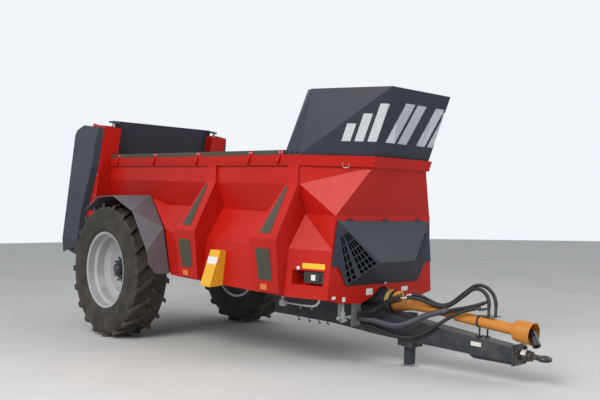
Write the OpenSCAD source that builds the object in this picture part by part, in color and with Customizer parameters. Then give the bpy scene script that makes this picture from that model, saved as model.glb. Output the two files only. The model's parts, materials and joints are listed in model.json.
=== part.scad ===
// Trailed single-axle manure spreader with two upright spreading rotors.
// X points forward to the towing eye, Y to the left, Z up. All sizes are in millimetres.
// The machine is drawn level, with x = 0 at the axle, and then leans forward onto its jack.

/* [Stance] */
// Angle by which the parked machine hangs its nose down, in degrees
nose_down = 3.4; // [2:0.1:4.5]

/* [Wheels] */
// Radius over the tyre lugs
tyre_r = 889; // [860:1:900]
// Width of the tyre at its sidewalls
tyre_w = 490; // [440:5:510]
// Distance between the middles of the two tyres
track = 2210; // [2200:5:2250]
// Radius of the rim flange
rim_flange_r = 508; // [490:1:520]
// Width over the rim flanges
rim_w = 440; // [400:5:450]
// Height of the tread lugs
lug_h = 42; // [25:1:50]
// Number of lugs on each side of the tread
lug_count = 20; // [16:1:22]
// Side of the square axle beam
axle_side = 140; // [110:5:160]

/* [Box] */
// Height of the load floor, machine level
floor_z = 1200; // [1190:1:1210]
// Height of the top face of the rail
rail_top_z = 2410; // [2380:1:2440]
// Height of the rail's profile
rail_h = 110; // [90:1:120]
// Half width over the upper band of the side wall
band_y = 875; // [865:1:885]
// Height of the lower edge of the upper band
band_z = 2105; // [2090:1:2130]
// Half width at the narrow fold of the side wall
fold_y = 770; // [760:1:780]
// Height of the narrow fold
fold_z = 1790; // [1780:1:1800]
// Thickness of the side walls
wall_t = 25; // [15:1:30]
// Half width at the bottom edge of the skirts
skirt_y = 1040; // [1030:1:1050]
// Height of the bottom edge of the skirts
skirt_z = 930; // [910:1:950]
// Half width of the skirts at their front corners
nose_y = 850; // [840:1:870]
// Front face of the front wall
front_x = 3745; // [3730:1:3760]

/* [Pillars] */
// Front faces of the two pillars of each side
pillar_1_x = 1853; // [1820:1:1880]
pillar_2_x = 3304; // [3290:1:3310]
// Width of a pillar at its knee
pillar_w = 430; // [380:5:440]
// Width of a pillar at its top
pillar_top_w = 155; // [130:5:180]
// Half width over the pillars' knees
knee_y = 1185; // [1150:1:1210]
// Height of the pillars' knees
knee_z = 1520; // [1490:1:1550]

/* [Screen] */
// Height of the top edge of the front screen
screen_top_z = 3110; // [3000:5:3200]
// Thickness of the screen's sheet
screen_t = 8; // [5:1:12]

/* [Rear] */
// Lean of the gate and the rotors, in degrees, foot to the rear
rear_lean = 11; // [9:0.5:12]
// Front face of the gate at the load floor
gate_x = -1094; // [-1100:1:-1090]
// Height of the gate's top edge above the load floor, along its slope
gate_top = 1789; // [1700:1:1800]
// Half width of the gate
gate_y = 861; // [850:1:870]
// Lift of the gate
gate_lift = 900; // [700:10:950]
// Radius of the rotors' discs
disc_r = 440; // [420:1:442]
// Distance between the rotor axes
rotor_span = 900; // [890:2:940]
// Half width over the side shields
shield_y = 1150; // [1140:1:1160]

/* [Drawbar] */
// Distance from the axle to the centre of the towing eye
eye_x = 5680; // [5660:1:5720]
// Height of the towing eye's centre, machine level
eye_z = 600; // [595:1:605]
// Bore of the towing eye
eye_bore = 50; // [40:1:52]
// Distance from the axle to the jack
jack_x = 4150; // [4100:5:4200]
// Stroke of the jack
jack_stroke = 185; // [150:5:190]

/* [Hidden] */
$fn = 48;
fit = 0.3;
axle_z = tyre_r;
wheel_y = track / 2;
spindle_r = 45;
shank_r = 30;

// Side walls, skirts and beams
skirt_t = 8;
skirt_mid_z = 1430;
skirt_mid_y = 1000;
skirt_nose_y = 790;
beam_top_z = 1000;
beam_y = 450;
floor_front_x = 3560;
// Columns: distance from the axle and half width of the cross beams
cross_beams = [[-700, 770], [0, 770], [700, 770], [1640, 1020], [2450, 1020], [3080, 1020]];

// Rail and front, in plan
rail_y = 905;
rail_d = [3960, 455];
diagonal_normal = 90 - atan2(rail_y - rail_d[1], rail_d[0] - pillar_2_x);
diagonal = 90 - diagonal_normal;
screen_rear_x = 3063;

// Point p of the plan moved by d away from two edges with outward normals n1 and n2
function mitre(p, n1, n2, d) = p + d * (n1 + n2) / (1 + n1 * n2);
facet_top = mitre(rail_d, [sin(diagonal), cos(diagonal)], [1, 0], -30);

// Fenders, rear frame, gate and rotors
fender_y = 1330;
frame_d = 155;
frame_top = 1705;
frame_y = rail_y + 160;
gate_t = 25;
cylinder_y = 885;
barrel_h = 1230;
gate_rod_r = 20;
rod_h = 1190;
rotor_x = -500;
rotor_h = 1400;
flight_r = 405;
rotor_tube_r = 110;
rotor_pin_r = 30;

// Floor chain and drive
chain_z = 1156;
chain_t = 14;
chain_r = floor_z + fit + chain_t / 2 - chain_z;
slat_h = 23;
chain_y = 500;
chain_rear_x = -1000;
chain_front_x = 3600;
slat_count = 13;
pto_z = 910;
pto_rear_x = 3770;
pto_len = 1800;
pto_droop = 3.4;
yoke_fold = 47;
yoke_lean = 23;
yoke_pivot = pto_len - 15;
yoke_reach = 132;
pto_tube_r = 42;
pto_sleeve_r = 55;
bell_r = 105;
cone_r = 108;
arch_r = cone_r + 7;

// Half width of the jack's leg
jack_leg_y = 42;
jack_top_z = 800;

// Hose ends: the valve plate under the box, and the stand on the drawbar
port_x = 3640;
ports = [[-215, 770], [-285, 758], [-250, 690], [-206, 632]];
stand = [5035, 70];
stand_plate_z = 905;
plug_z = 995;
loop_ends = [[5150, 18], [5100, -22]];
middle_end = [5005, 42, 1012];
middle_way = [30, 10, 15];
low_end = [4980, -78, 960];
low_way = [70, 6, 20];

// Hose diameters
hose_d = 32;
coil_d = 60;

// Hose routes, point by point from the machine to the far end
coil_1 = [[port_x, -215, 770], [3740, -215, 770], [3840, -207, 802], [3940, -190, 866], [4040, -167, 934],
  [4130, -140, 979], [4210, -112, 997]];
coil_2 = [[port_x, -285, 758], [3740, -285, 758], [3840, -277, 788], [3940, -259, 848], [4040, -235, 912],
  [4120, -210, 952], [4200, -178, 970]];
loop_1 = [[4210, -112, 997], [4250, -98, 1006], [4310, -76, 1003], [4370, -52, 982], [4430, -28, 955],
  [4480, -8, 935], [4535, 8, 930], [4592, 16, 943], [4650, 18, 972], [4710, 18, 1017], [4770, 18, 1066],
  [4830, 18, 1114], [4887, 18, 1156], [4930, 18, 1174], [4975, 18, 1180], [5035, 18, 1169], [5088, 18, 1139],
  [5127, 18, 1092], [5147, 18, 1035], [5150, 18, 1005], [5150, 18, plug_z]];
loop_2 = [[4200, -178, 970], [4240, -162, 979], [4300, -138, 980], [4360, -112, 968], [4420, -86, 948],
  [4480, -60, 929], [4535, -40, 919], [4592, -26, 922], [4650, -22, 945], [4710, -22, 983],
  [4770, -22, 1030], [4830, -22, 1074], [4882, -22, 1118], [4928, -22, 1142], [4977, -22, 1147],
  [5025, -22, 1134], [5066, -22, 1103], [5091, -22, 1062], [5100, -22, 1015], [5100, -22, plug_z]];
sleeve = [[port_x, -250, 690], [3740, -250, 690], [3840, -252, 697], [3940, -252, 691], [4040, -250, 684],
  [4140, -244, 686], [4240, -230, 712], [4330, -206, 755], [4410, -176, 800], [4490, -144, 838],
  [4570, -112, 869], [4650, -84, 893]];
middle = [[4650, -84, 893], [4690, -70, 905], [4750, -51, 922], [4810, -34, 938], [4870, -14, 956],
  [4925, 10, 976], [4975, 32, 997], middle_end];
low = [[port_x, -206, 632], [3720, -206, 632], [3800, -202, 623], [3880, -190, 604], [3960, -181, 587],
  [4040, -172, 573], [4120, -165, 566], [4200, -158, 568], [4280, -150, 580], [4350, -143, 603],
  [4420, -136, 638], [4490, -130, 682], [4560, -123, 732], [4630, -116, 783], [4700, -108, 832],
  [4770, -99, 876], [4840, -91, 912], [4910, -84, 940], low_end];

// Towing eye
head_x = 5400;
ring_wire_r = 24;
ring_mid_r = eye_bore / 2 + 19;

// The parked machine's reach along X, from the rotor discs to the towing eye
function lean_x(x, z) = x * cos(nose_down) + (z - axle_z) * sin(nose_down);
function rear_point(x, z) =
  [gate_x + x * cos(rear_lean) + z * sin(rear_lean), floor_z - x * sin(rear_lean) + z * cos(rear_lean)];
disc_edge = rear_point(rotor_x - disc_r, -100);
front_reach = lean_x(eye_x, eye_z) + ring_mid_r * cos(nose_down) + ring_wire_r;
mid_x = (front_reach + lean_x(disc_edge[0], disc_edge[1])) / 2;

// Half width of the side wall's outer face at height z
function wall_y(z) =
  z > band_z ? band_y : z > fold_z ? fold_y + (band_y - fold_y) * (z - fold_z) / (band_z - fold_z) : fold_y;

// Places its children, drawn level, on the parked machine
module parked() {
  translate([-mid_x, 0, axle_z]) rotate([0, nose_down, 0]) translate([0, 0, -axle_z]) children();
}

// A block between two corners, given as [from, to] along each axis
module block(x, y, z) {
  translate([x[0], y[0], z[0]]) cube([x[1] - x[0], y[1] - y[0], z[1] - z[0]]);
}

// The shape and its mirror image on the other side of the machine
module both_sides() {
  children();
  mirror([0, 1, 0]) children();
}

// An outline of [y, z] points carried along X from x0 to x1
module run_x(x0, x1, outline) {
  translate([x0, 0, 0]) rotate([90, 0, 90]) linear_extrude(x1 - x0) polygon(outline);
}

// An outline of [x, z] points carried along Y from y0 to y1
module run_y(y0, y1, outline) {
  translate([0, y1, 0]) rotate([90, 0, 0]) linear_extrude(y1 - y0) polygon(outline);
}

// A cylinder along Y, from y0 to y1
module rod_y(x, z, y0, y1, r) {
  translate([x, y1, z]) rotate([90, 0, 0]) cylinder(h = y1 - y0, r = r);
}

// A cylinder along X, from x0 to x1
module rod_x(x0, x1, y, z, r) {
  translate([x0, y, z]) rotate([0, 90, 0]) cylinder(h = x1 - x0, r = r);
}

// A folded sheet: outer and inner points in the same order, and faces clockwise from outside
module sheet(outer, inner, faces) {
  n = len(outer);
  tris = [for (f = faces) for (i = [1 : len(f) - 2]) [f[0], f[i], f[i + 1]]];
  edges = [for (f = tris) for (i = [0 : 2]) [f[i], f[(i + 1) % 3]]];
  rim = [for (e = edges) if (len([for (g = edges) if (g == [e[1], e[0]]) 1]) == 0) e];
  polyhedron(
    concat(outer, inner),
    concat(
      tris,
      [for (f = tris) [f[2] + n, f[1] + n, f[0] + n]],
      [for (e = rim) each [[e[1], e[0], e[0] + n], [e[1], e[0] + n, e[1] + n]]]
    )
  );
}

// A closed skin over sections with equal point counts, each counterclockwise about the way ahead
module skin(loops, turned = -1) {
  n = len(loops[0]);
  m = len(loops);
  polyhedron(
    [for (l = loops) each l],
    concat(
      [for (i = [1 : n - 2]) [0, i, i + 1]],
      [for (i = [1 : n - 2]) [(m - 1) * n, (m - 1) * n + i + 1, (m - 1) * n + i]],
      [for (j = [0 : m - 2]) for (i = [0 : n - 1])
        let (a = j * n + i, b = j * n + (i + 1) % n, c = a + n, d = b + n)
        each i == turned ? [[a, c, b], [b, c, d]] : [[a, c, d], [a, d, b]]]
    )
  );
}

// A point's mirror image on the other side of the machine
function other_side(p) = [p[0], -p[1], p[2]];

// The unit normal to the left of the way from a to b
function left_of(a, b) = [a[1] - b[1], b[0] - a[0]] / norm(b - a);

// A counterclockwise outline moved inward by d
function inset(p, d) =
  let (n = len(p))
  [for (i = [0 : n - 1])
    let (u = left_of(p[(i + n - 1) % n], p[i]), v = left_of(p[i], p[(i + 1) % n]))
    p[i] + d * (u + v) / (1 + u * v)];

// Places its children on the leaning rear: x ahead of the gate's front face, z up its slope
module on_rear() {
  translate([gate_x, 0, floor_z]) rotate([0, rear_lean, 0]) children();
}

// What lies ahead of the rear frame's front plates
module ahead_of_rear() {
  intersection() {
    children();
    on_rear() block([frame_d, frame_d + 6000], [-2000, 2000], [-2000, 3000]);
  }
}

module side_walls() {
  top = rail_top_z - rail_h;
  upper = [[band_y, top], [band_y - wall_t, top], [band_y - wall_t, band_z],
    [fold_y - wall_t, fold_z], [fold_y, fold_z], [band_y, band_z]];
  lower = [[fold_y, fold_z], [fold_y - wall_t, fold_z], [fold_y - wall_t, beam_top_z], [fold_y, beam_top_z]];
  color([0.80, 0.10, 0.07]) ahead_of_rear() both_sides() {
    run_x(gate_x, pillar_2_x, upper);
    run_x(gate_x, front_x - wall_t, lower);
  }
}

module load_floor() {
  inner = fold_y - wall_t - fit;
  color([0.35, 0.36, 0.38]) ahead_of_rear()
    block([gate_x, floor_front_x], [-inner, inner], [floor_z - 10, floor_z]);
}

module front_wall() {
  slope = [
    [pillar_2_x, band_y, rail_top_z - rail_h], [pillar_2_x, band_y, band_z],
    [facet_top[0], facet_top[1], rail_top_z - rail_h], [front_x, fold_y, fold_z],
    [pillar_2_x, fold_y, fold_z]
  ];
  slope_in = [for (i = [0 : 4]) slope[i] - [i == 2 || i == 3 ? wall_t : 0, wall_t, 0]];
  edge = [[fold_y, fold_z], [skirt_nose_y, skirt_mid_z], [nose_y - skirt_t, skirt_z], [665, 890], [349, 867],
    [149, 934], [91, pto_z + 74], [45, pto_z + arch_r]];
  plate = concat([for (p = edge) [-p[0], p[1]]], [for (i = [7 : -1 : 0]) edge[i]]);
  color([0.72, 0.08, 0.06]) {
    sheet(
      concat([for (p = slope) other_side(p)], slope),
      concat([for (p = slope_in) other_side(p)], slope_in),
      [[0, 2, 1], [1, 2, 3], [1, 3, 4], [2, 7, 8, 3], [5, 6, 7], [6, 8, 7], [6, 9, 8]]
    );
    run_x(front_x - wall_t, front_x, plate);
  }
}

// The pocket in the right skirt: [from, to] along X and Z, and how far its back lies from the middle
pocket_x = [3365, 3690];
pocket_z = [1065, 1215];
pocket_y = 825;

// Half width of the skirt's nose at its fold and at its bottom edge
nose = [fold_y, skirt_nose_y, nose_y - skirt_t];

// Half width of the skirt's mid plane between pillar and nose, at share s of the way and height z
function skirt_plan(s, z) =
  let (r = (skirt_mid_z - z) / (skirt_mid_z - skirt_z), out = skirt_mid_y + r * (skirt_y - skirt_mid_y))
  (1 - s) * (out - skirt_t) + s * (nose[1] + r * (nose[2] - nose[1])) + skirt_t / 2;

// The skirt of the right side, with the panels that close it at the wheel arch
module skirt() {
  rows = [[fold_y, fold_z], [skirt_mid_y - skirt_t, skirt_mid_z], [skirt_y - skirt_t, skirt_z]];
  arch_x = [620, 1225, 1330];
  inner = concat(
    [for (i = [0 : 2]) each [
      [arch_x[i], -rows[i][0], rows[i][1]], [pillar_2_x, -rows[i][0], rows[i][1]],
      [front_x, -nose[i], rows[i][1]]
    ]],
    [[290, -wall_y(1880), 1880], [938, 8 - skirt_mid_y, 1505], [1128, 36 - skirt_y, skirt_z],
      [938, -fold_y - fit, 1505], [1128, -fold_y - fit, skirt_z]]
  );
  step = [for (i = [0 : 13]) i < 10 ? [0, -skirt_t, 0] : [-skirt_t, i < 12 ? -skirt_t : 0, 0]];
  difference() {
    sheet([for (i = [0 : 13]) inner[i] + step[i]], inner, [
      [0, 1, 4, 3], [1, 2, 5, 4], [3, 4, 7, 6], [4, 5, 8, 7],
      [9, 0, 10], [0, 3, 10], [3, 6, 11, 10], [9, 10, 12], [12, 10, 11, 13]
    ]);
    block(pocket_x, [-1200, -700], pocket_z);
  }
}

// The tray that lines the pocket
module pocket_tray() {
  t = 5;
  intersection() {
    difference() {
      block([pocket_x[0] - t, pocket_x[1] + t], [-1100, t - pocket_y], [pocket_z[0] - t, pocket_z[1] + t]);
      block(pocket_x, [-1200, -pocket_y], pocket_z);
    }
    skin([for (z = [pocket_z[0] - 20, pocket_z[1] + 20]) [
      [pillar_2_x, -skirt_plan(0, z), z], [front_x, -skirt_plan(1, z), z],
      [front_x, -600, z], [pillar_2_x, -600, z]
    ]]);
  }
}

module skirts() {
  color([0.82, 0.11, 0.07]) {
    skirt();
    pocket_tray();
    mirror([0, 1, 0]) skirt();
  }
}

// Columns: height, outer face, inner face and width of the pillar
pillar_rows = [
  [960, 1115, skirt_y, pillar_w - 60],
  [skirt_mid_z, knee_y - 15, skirt_mid_y, pillar_w - 10],
  [knee_z, knee_y, 945, pillar_w],
  [fold_z, 1056, fold_y + skirt_t, 300],
  [band_z, rail_y, band_y, pillar_top_w + 25],
  [rail_top_z - rail_h, rail_y, band_y, pillar_top_w]
];
function pillar_col(z, c) = lookup(z, [for (r = pillar_rows) [r[0], r[c]]]);

module pillar(x) {
  skin([for (r = pillar_rows)
    [[x - r[3], -r[1], r[0]], [x, -r[1], r[0]], [x, -r[2], r[0]], [x - r[3], -r[2], r[0]]]]);
}

module pillars() {
  color([0.85, 0.13, 0.08]) both_sides() for (x = [pillar_1_x, pillar_2_x]) pillar(x);
}

// Columns of a panel's corners: distance behind the pillar's front face, height
panel_upper = [[132, 2070], [122, knee_z + 60], [295, knee_z + 60], [172, 2070]];
panel_lower = [[105, 1415], [95, 1085], [310, 1085], [345, 1415]];

// A flat piece of thickness t on the outer face of the pillar whose front face is at x
module pillar_panel(x, corners, t) {
  base = [for (c = corners) [x - c[0], -pillar_col(c[1], 1), c[1]]];
  sheet([for (p = base) p - [0, t, 0]], [for (p = base) p - [0, fit, 0]], [[0, 1, 2, 3]]);
}

module pillar_panels() {
  color([0.27, 0.26, 0.23]) both_sides() for (x = [pillar_1_x, pillar_2_x]) {
    pillar_panel(x, panel_upper, 5);
    pillar_panel(x, panel_lower, 5);
  }
}

// The rail's six plan points at distance d outside its bottom outer edge
function rail_path(d) =
  let (
    a = mitre([pillar_2_x, rail_y], [0, 1], [sin(diagonal), cos(diagonal)], d),
    e = mitre(rail_d, [sin(diagonal), cos(diagonal)], [1, 0], d),
    x0 = gate_x + 400
  )
  [[x0, -rail_y - d], [a[0], -a[1]], [e[0], -e[1]], e, a, [x0, rail_y + d]];

// Columns of the rail's section: distance outward, height
rail_section = [[-55, rail_top_z - rail_h], [-55, rail_top_z], [25, rail_top_z], [0, rail_top_z - rail_h]];

module top_rail() {
  paths = [for (s = rail_section) rail_path(s[0])];
  color([0.86, 0.14, 0.09]) ahead_of_rear()
    skin([for (i = [0 : 5]) [for (k = [0 : 3]) [paths[k][i][0], paths[k][i][1], rail_section[k][1]]]]);
}

module rail_strips() {
  color([0.25, 0.25, 0.22]) ahead_of_rear() both_sides()
    block([gate_x + 380, screen_rear_x - 3], [rail_y - 40, rail_y - 5], [rail_top_z, rail_top_z + 55]);
}

// The screen's sheet, with its outer face d inside the outer outline and its thickness t
module screen_sheet(d, t) {
  turn = [0, diagonal / 2, (90 + diagonal) / 2];
  low = rail_path(-10 - d);
  top = [[screen_rear_x + 180, -750], [pillar_2_x + 48, -800], [4190, -482]];
  low_x = [screen_rear_x, low[1][0], low[2][0]];
  base = concat(
    [for (i = [0 : 2]) [low_x[i], low[i][1], rail_top_z]],
    [for (i = [0 : 2]) [top[i][0] - d * sin(turn[i]), top[i][1] + d * cos(turn[i]), screen_top_z]]
  );
  step = [for (i = [0 : 5]) t * [-sin(turn[i % 3]), cos(turn[i % 3]), 0]];
  inner = [for (i = [0 : 5]) base[i] + step[i]];
  order = [0, 1, 2];
  outer_pts = concat([for (i = order) base[i]], [for (i = [2 : -1 : 0]) other_side(base[i])],
    [for (i = order) base[i + 3]], [for (i = [2 : -1 : 0]) other_side(base[i + 3])]);
  inner_pts = concat([for (i = order) inner[i]], [for (i = [2 : -1 : 0]) other_side(inner[i])],
    [for (i = order) inner[i + 3]], [for (i = [2 : -1 : 0]) other_side(inner[i + 3])]);
  sheet(outer_pts, inner_pts, [for (i = [0 : 4]) [i, i + 6, i + 7, i + 1]]);
}

// Columns of the windows: distance along the panel's foot, width, share of the screen's height above the top
diagonal_windows = [[395, 95, 37 / 70], [530, 95, 27 / 70], [665, 95, 17 / 70]];
front_windows = [[60, 150, 14 / 70], [250, 150, 14 / 70], [560, 150, 14 / 70], [750, 100, 14 / 70]];
screen_h = screen_top_z - rail_top_z;
window_sill = screen_h * 3 / 14;

// How far the windows lean forward over the screen's whole height
window_lean = 245;

// The windows' prisms along the panel whose foot starts at p and points along angle a, made smaller by s
module windows(p, a, table, s) {
  translate([p[0], p[1], rail_top_z]) rotate([0, 0, a]) rotate([90, 0, 0]) for (w = table) {
    low = window_sill;
    high = screen_h * (1 - w[2]);
    foot = w[0] + window_lean * low / screen_h;
    head = w[0] + window_lean * high / screen_h;
    linear_extrude(660, center = true)
      polygon(inset([[foot, low], [foot + w[1], low], [head + w[1], high], [head, high]], s));
  }
}

module all_windows(s) {
  both_sides() windows([pillar_2_x, -rail_y], 90 - diagonal_normal, diagonal_windows, s);
  windows([rail_d[0], -rail_d[1]], 90, front_windows, s);
}

module front_screen() {
  color([0.23, 0.25, 0.28]) difference() {
    screen_sheet(0, screen_t);
    all_windows(0);
  }
}

module screen_windows() {
  color([0.75, 0.77, 0.79]) intersection() {
    screen_sheet(2.5, 3);
    all_windows(fit);
  }
}

// The hood's corners on the right side: top, wing, notch, foot and crease
hood_rim_x = front_x + 6;
hood_top = [hood_rim_x, -744, 1740];
hood_wing = [hood_rim_x, -815, 1275];
hood_notch = [hood_rim_x, -705, 1268];
hood_foot = [hood_rim_x, -590, 1065];
hood_crease = [front_x + 190, -285, 1315];
hood_t = 6;
hood_pin_r = 9.7;
hood_pin = [front_x + hood_pin_r + fit, hood_top[2] + hood_pin_r - 1];

// A point of the hood's slanted side face: share r of the way down, share s from the foot to the crease
function hood_point(s, r) = hood_top + r * ((1 - s) * hood_foot + s * hood_crease - hood_top);
hood_normal = let (c = cross(hood_foot - hood_top, hood_crease - hood_top)) c / norm(c);

// Columns of the grille fans: first and last share across, number of slots across
hood_fans = [[0.07, 0.36, 2], [0.46, 0.96, 4]];
fan_rows = [0.24, 0.40, 0.54, 0.67, 0.79, 0.90, 0.985];

// One slot between two shares across and two shares down, slanted across its row
module hood_slot(s0, s1, r0, r1) {
  quad = [hood_point(s0, r0 + 0.012), hood_point(s1, r0 + 0.02), hood_point(s1, r1),
    hood_point(s0, r1 - 0.008)];
  sheet([for (p = quad) p + 25 * hood_normal], [for (p = quad) p - 25 * hood_normal], [[0, 1, 2, 3]]);
}

module hood() {
  right = [hood_top, hood_wing, hood_notch, hood_foot, hood_crease];
  depth = [[0, 8], [0, 8], [0, 6], [0, 6], [-hood_t, 5]];
  outer = concat([for (p = right) p + [hood_t, 0, 0]], [for (p = right) other_side(p + [hood_t, 0, 0])]);
  inner = concat(right, [for (p = right) other_side(p)]);
  color([0.24, 0.26, 0.30]) {
    difference() {
      sheet(outer, inner, [[0, 3, 2, 1], [0, 4, 3], [0, 5, 9, 4], [3, 4, 9, 8], [5, 8, 9], [5, 6, 7, 8]]);
      both_sides() for (f = hood_fans) for (c = [0 : f[2] - 1]) for (r = [0 : len(fan_rows) - 2])
        let (w = (f[1] - f[0]) / f[2])
          hood_slot(f[0] + c * w, f[0] + (c + 0.72) * w, fan_rows[r], fan_rows[r + 1]);
    }
    for (y = [-550, 0, 550]) rod_y(hood_pin[0], hood_pin[1], y - 35, y + 35, hood_pin_r);
  }
}

module chassis_rails() {
  color([0.22, 0.24, 0.27]) ahead_of_rear() both_sides()
    block([gate_x - 100, 3300], [beam_y - 40, beam_y + 40], [beam_top_z, 1060]);
}

module cross_beams() {
  color([0.22, 0.24, 0.27]) for (b = cross_beams)
    block([b[0] - 40, b[0] + 40], [-b[1], b[1]], [axle_z + axle_side / 2, beam_top_z]);
}

// The chain loop's outline at distance r from the line between its two shafts
function chain_loop(r) = [
  for (a = [-90 : 22.5 : 90]) [chain_front_x + r * cos(a), chain_z + r * sin(a)],
  for (a = [90 : 22.5 : 270]) [chain_rear_x + r * cos(a), chain_z + r * sin(a)]
];

module floor_chain() {
  half = fold_y - wall_t - 12;
  seat = chain_r + chain_t / 2 + fit;
  color([0.30, 0.30, 0.31]) {
    for (y = [-chain_y, chain_y]) difference() {
        run_y(y - 11, y + 11, chain_loop(chain_r + chain_t / 2));
        run_y(y - 12, y + 12, chain_loop(chain_r - chain_t / 2));
    }
    for (i = [0 : slat_count - 1]) {
      x = chain_rear_x + 90 + i * (chain_front_x - chain_rear_x - 180) / (slat_count - 1);
      for (z = [chain_z + seat, chain_z - seat - slat_h])
        block([x - 25, x + 25], [-half, half], [z, z + slat_h]);
    }
  }
}

module chain_shafts() {
  ends = [[chain_rear_x, frame_y - 12 - fit], [chain_front_x, fold_y - wall_t - fit]];
  color([0.28, 0.28, 0.30]) for (e = ends) {
    rod_y(e[0], chain_z, -e[1], e[1], 25);
    for (y = [-chain_y, chain_y]) rod_y(e[0], chain_z, y - 14, y + 14, chain_r - 9);
  }
}

module gearbox() {
  color([0.24, 0.26, 0.29]) {
    block([3500, 3700], [-110, 110], [880, 1060]);
    run_y(-80, 80, [[3500, 881], [3500, 844], [3700, 808], [3700, 881]]);
    rod_x(3699, pto_rear_x - 20, 0, pto_z, 95);
    rod_x(3699, pto_rear_x + 66, 0, pto_z, 86);
  }
}

module driveshaft() {
  color([0.20, 0.21, 0.23]) difference() {
    union() {
      rod_x(-2000, 3500 - fit, 0, 1030, 25);
      rod_x(3380, 3500 - fit, 0, 1030, 40);
    }
    on_rear() block([-1200, rotor_x + 100], [-200, 200], [-600, 200]);
  }
}

// Places its children along the shaft between tractor and machine, Z forward from its rear end
module along_pto() {
  translate([pto_rear_x, 0, pto_z]) rotate([0, 90 + pto_droop, 0]) children();
}

module pto_guard() {
  bell = pto_len - 190;
  ribs = [for (i = [0 : 4])
    each [[bell_r - 7 + i, bell + 30 + 32 * i], [bell_r - 3 + i, bell + 46 + 32 * i]]];
  color([0.90, 0.33, 0.10]) along_pto() rotate_extrude($fn = 64) polygon(concat(
    [[55, 74], [90, 74], [cone_r, 92], [cone_r, 215], [cone_r - 8, 240], [60, 410], [46, 600],
      [pto_tube_r, 640], [pto_tube_r, 930], [pto_sleeve_r, 945], [pto_sleeve_r, bell],
      [bell_r - 10, bell + 12]],
    ribs,
    [[bell_r, pto_len], [bell_r - 6, pto_len], [bell_r - 16, bell + 20], [pto_sleeve_r - 6, bell + 10],
      [pto_sleeve_r - 6, 955], [34, 935], [34, 590], [50, 402], [cone_r - 14, 235], [cone_r - 7, 210],
      [cone_r - 7, 98], [55, 84]]
  ));
}

module pto_shaft() {
  color([0.12, 0.12, 0.13]) along_pto() {
    translate([0, 0, 67.9]) cylinder(h = pto_len - 150.9, r = 24);
    difference() {
      translate([0, 0, pto_len - 95]) cylinder(h = 105, r = 42);
      translate([-50, -20, pto_len - 60]) cube([100, 40, 90]);
    }
    translate([0, 0, yoke_pivot]) {
      rotate([90, 0, 0]) cylinder(h = 76, r = 13, center = true);
      rotate([yoke_lean, yoke_fold, 0]) {
        rotate([0, 90, 0]) cylinder(h = 70, r = 13, center = true);
        difference() {
          translate([0, 0, -18]) cylinder(h = yoke_reach + 18, r = 38);
          translate([-50, -50, -20]) cube([100, 32, 68]);
          translate([-50, 18, -20]) cube([100, 32, 68]);
          translate([-20, -60, -20]) cube([40, 120, 60]);
          translate([0, 0, yoke_reach - 75]) cylinder(h = 80, r = 17.45);
        }
      }
    }
  }
}

// Height of the shaft's axis and of the drawbar's top at distance x from the axle
function pto_axis_z(x) = pto_z - (x - pto_rear_x) * tan(pto_droop);
function drawbar_top(x) = lookup(x, [for (r = drawbar_rows) [r[0], r[3]]]);

// A plate with its upper face at z that lies on the drawbar's sloping top
module drawbar_pad(x, y, z) {
  run_y(y[0], y[1],
    [[x[0], drawbar_top(x[0]) + fit], [x[1], drawbar_top(x[1]) + fit], [x[1], z], [x[0], z]]);
}

module pto_rest() {
  x = 4990;
  top = drawbar_top(x) + 12;
  color([0.10, 0.10, 0.11]) {
    difference() {
      along_pto() translate([0, 0, x - pto_rear_x - 6]) cylinder(h = 22, r = pto_sleeve_r + 7);
      along_pto() cylinder(h = pto_len, r = pto_sleeve_r + fit);
    }
    translate([x, 0, top - 1]) cylinder(h = pto_axis_z(x) - pto_sleeve_r - 4 - top, r = 9);
    drawbar_pad([x - 26, x + 26], [-24, 24], top);
  }
}

// Columns: distance from the axle, half width, bottom and top of the drawbar
drawbar_rows = [[2450, 420, 600, 959], [3120, 300, 590, 959], [3300, 250, 580, 880], [3800, 140, 530, 790],
  [4400, 100, 522, 730], [head_x, 82, 522, 662]];

module drawbar() {
  color([0.24, 0.26, 0.30]) {
    difference() {
      skin([for (r = drawbar_rows)
        [[r[0], r[1], r[2]], [r[0], r[1], r[3]], [r[0], -r[1], r[3]], [r[0], -r[1], r[2]]]]);
      block([jack_x - 50 - fit, jack_x + 50 + fit], [-50 - fit, 50 + fit], [400, 1000]);
    }
    run_y(-60, 60, [[head_x - 500, 523], [head_x - 430, 484], [head_x - 20, 499], [head_x - 2, 523]]);
  }
}

module drawbar_head() {
  color([0.08, 0.08, 0.09]) difference() {
    union() {
      block([head_x, head_x + 25], [-88, 88], [495, 689]);
      block([head_x + 25, head_x + 50], [-80, 80], [505, 682]);
      rod_x(head_x + 50, head_x + 130, 0, eye_z, 52);
      for (y = [-62, 62], z = [530, 594, 658]) rod_x(head_x + 50, head_x + 66, y, z, 14);
    }
    rod_x(head_x + 60, head_x + 140, 0, eye_z, shank_r + fit / 6);
  }
}

module towing_eye() {
  color([0.06, 0.06, 0.07]) difference() {
    union() {
      rod_x(head_x + 65, head_x + 135, 0, eye_z, shank_r);
      rod_x(head_x + 135, head_x + 160, 0, eye_z, 46);
      rod_x(head_x + 160, eye_x - ring_mid_r, 0, eye_z, 26);
      translate([eye_x, 0, eye_z]) rotate_extrude() translate([ring_mid_r, 0]) circle(ring_wire_r);
    }
    translate([eye_x, 0, eye_z - 60]) cylinder(h = 120, r = eye_bore / 2);
  }
}

module jack_tube() {
  color([0.24, 0.26, 0.30]) difference() {
    union() {
      block([jack_x - 50, jack_x + 50], [-50, 50], [455, jack_top_z]);
      block([jack_x - 95, jack_x + 95], [-90, 90], [455, 521.7]);
    }
    block([jack_x - jack_leg_y - fit, jack_x + jack_leg_y + fit], [-jack_leg_y - fit, jack_leg_y + fit],
      [400, jack_top_z - 12]);
  }
}

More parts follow.
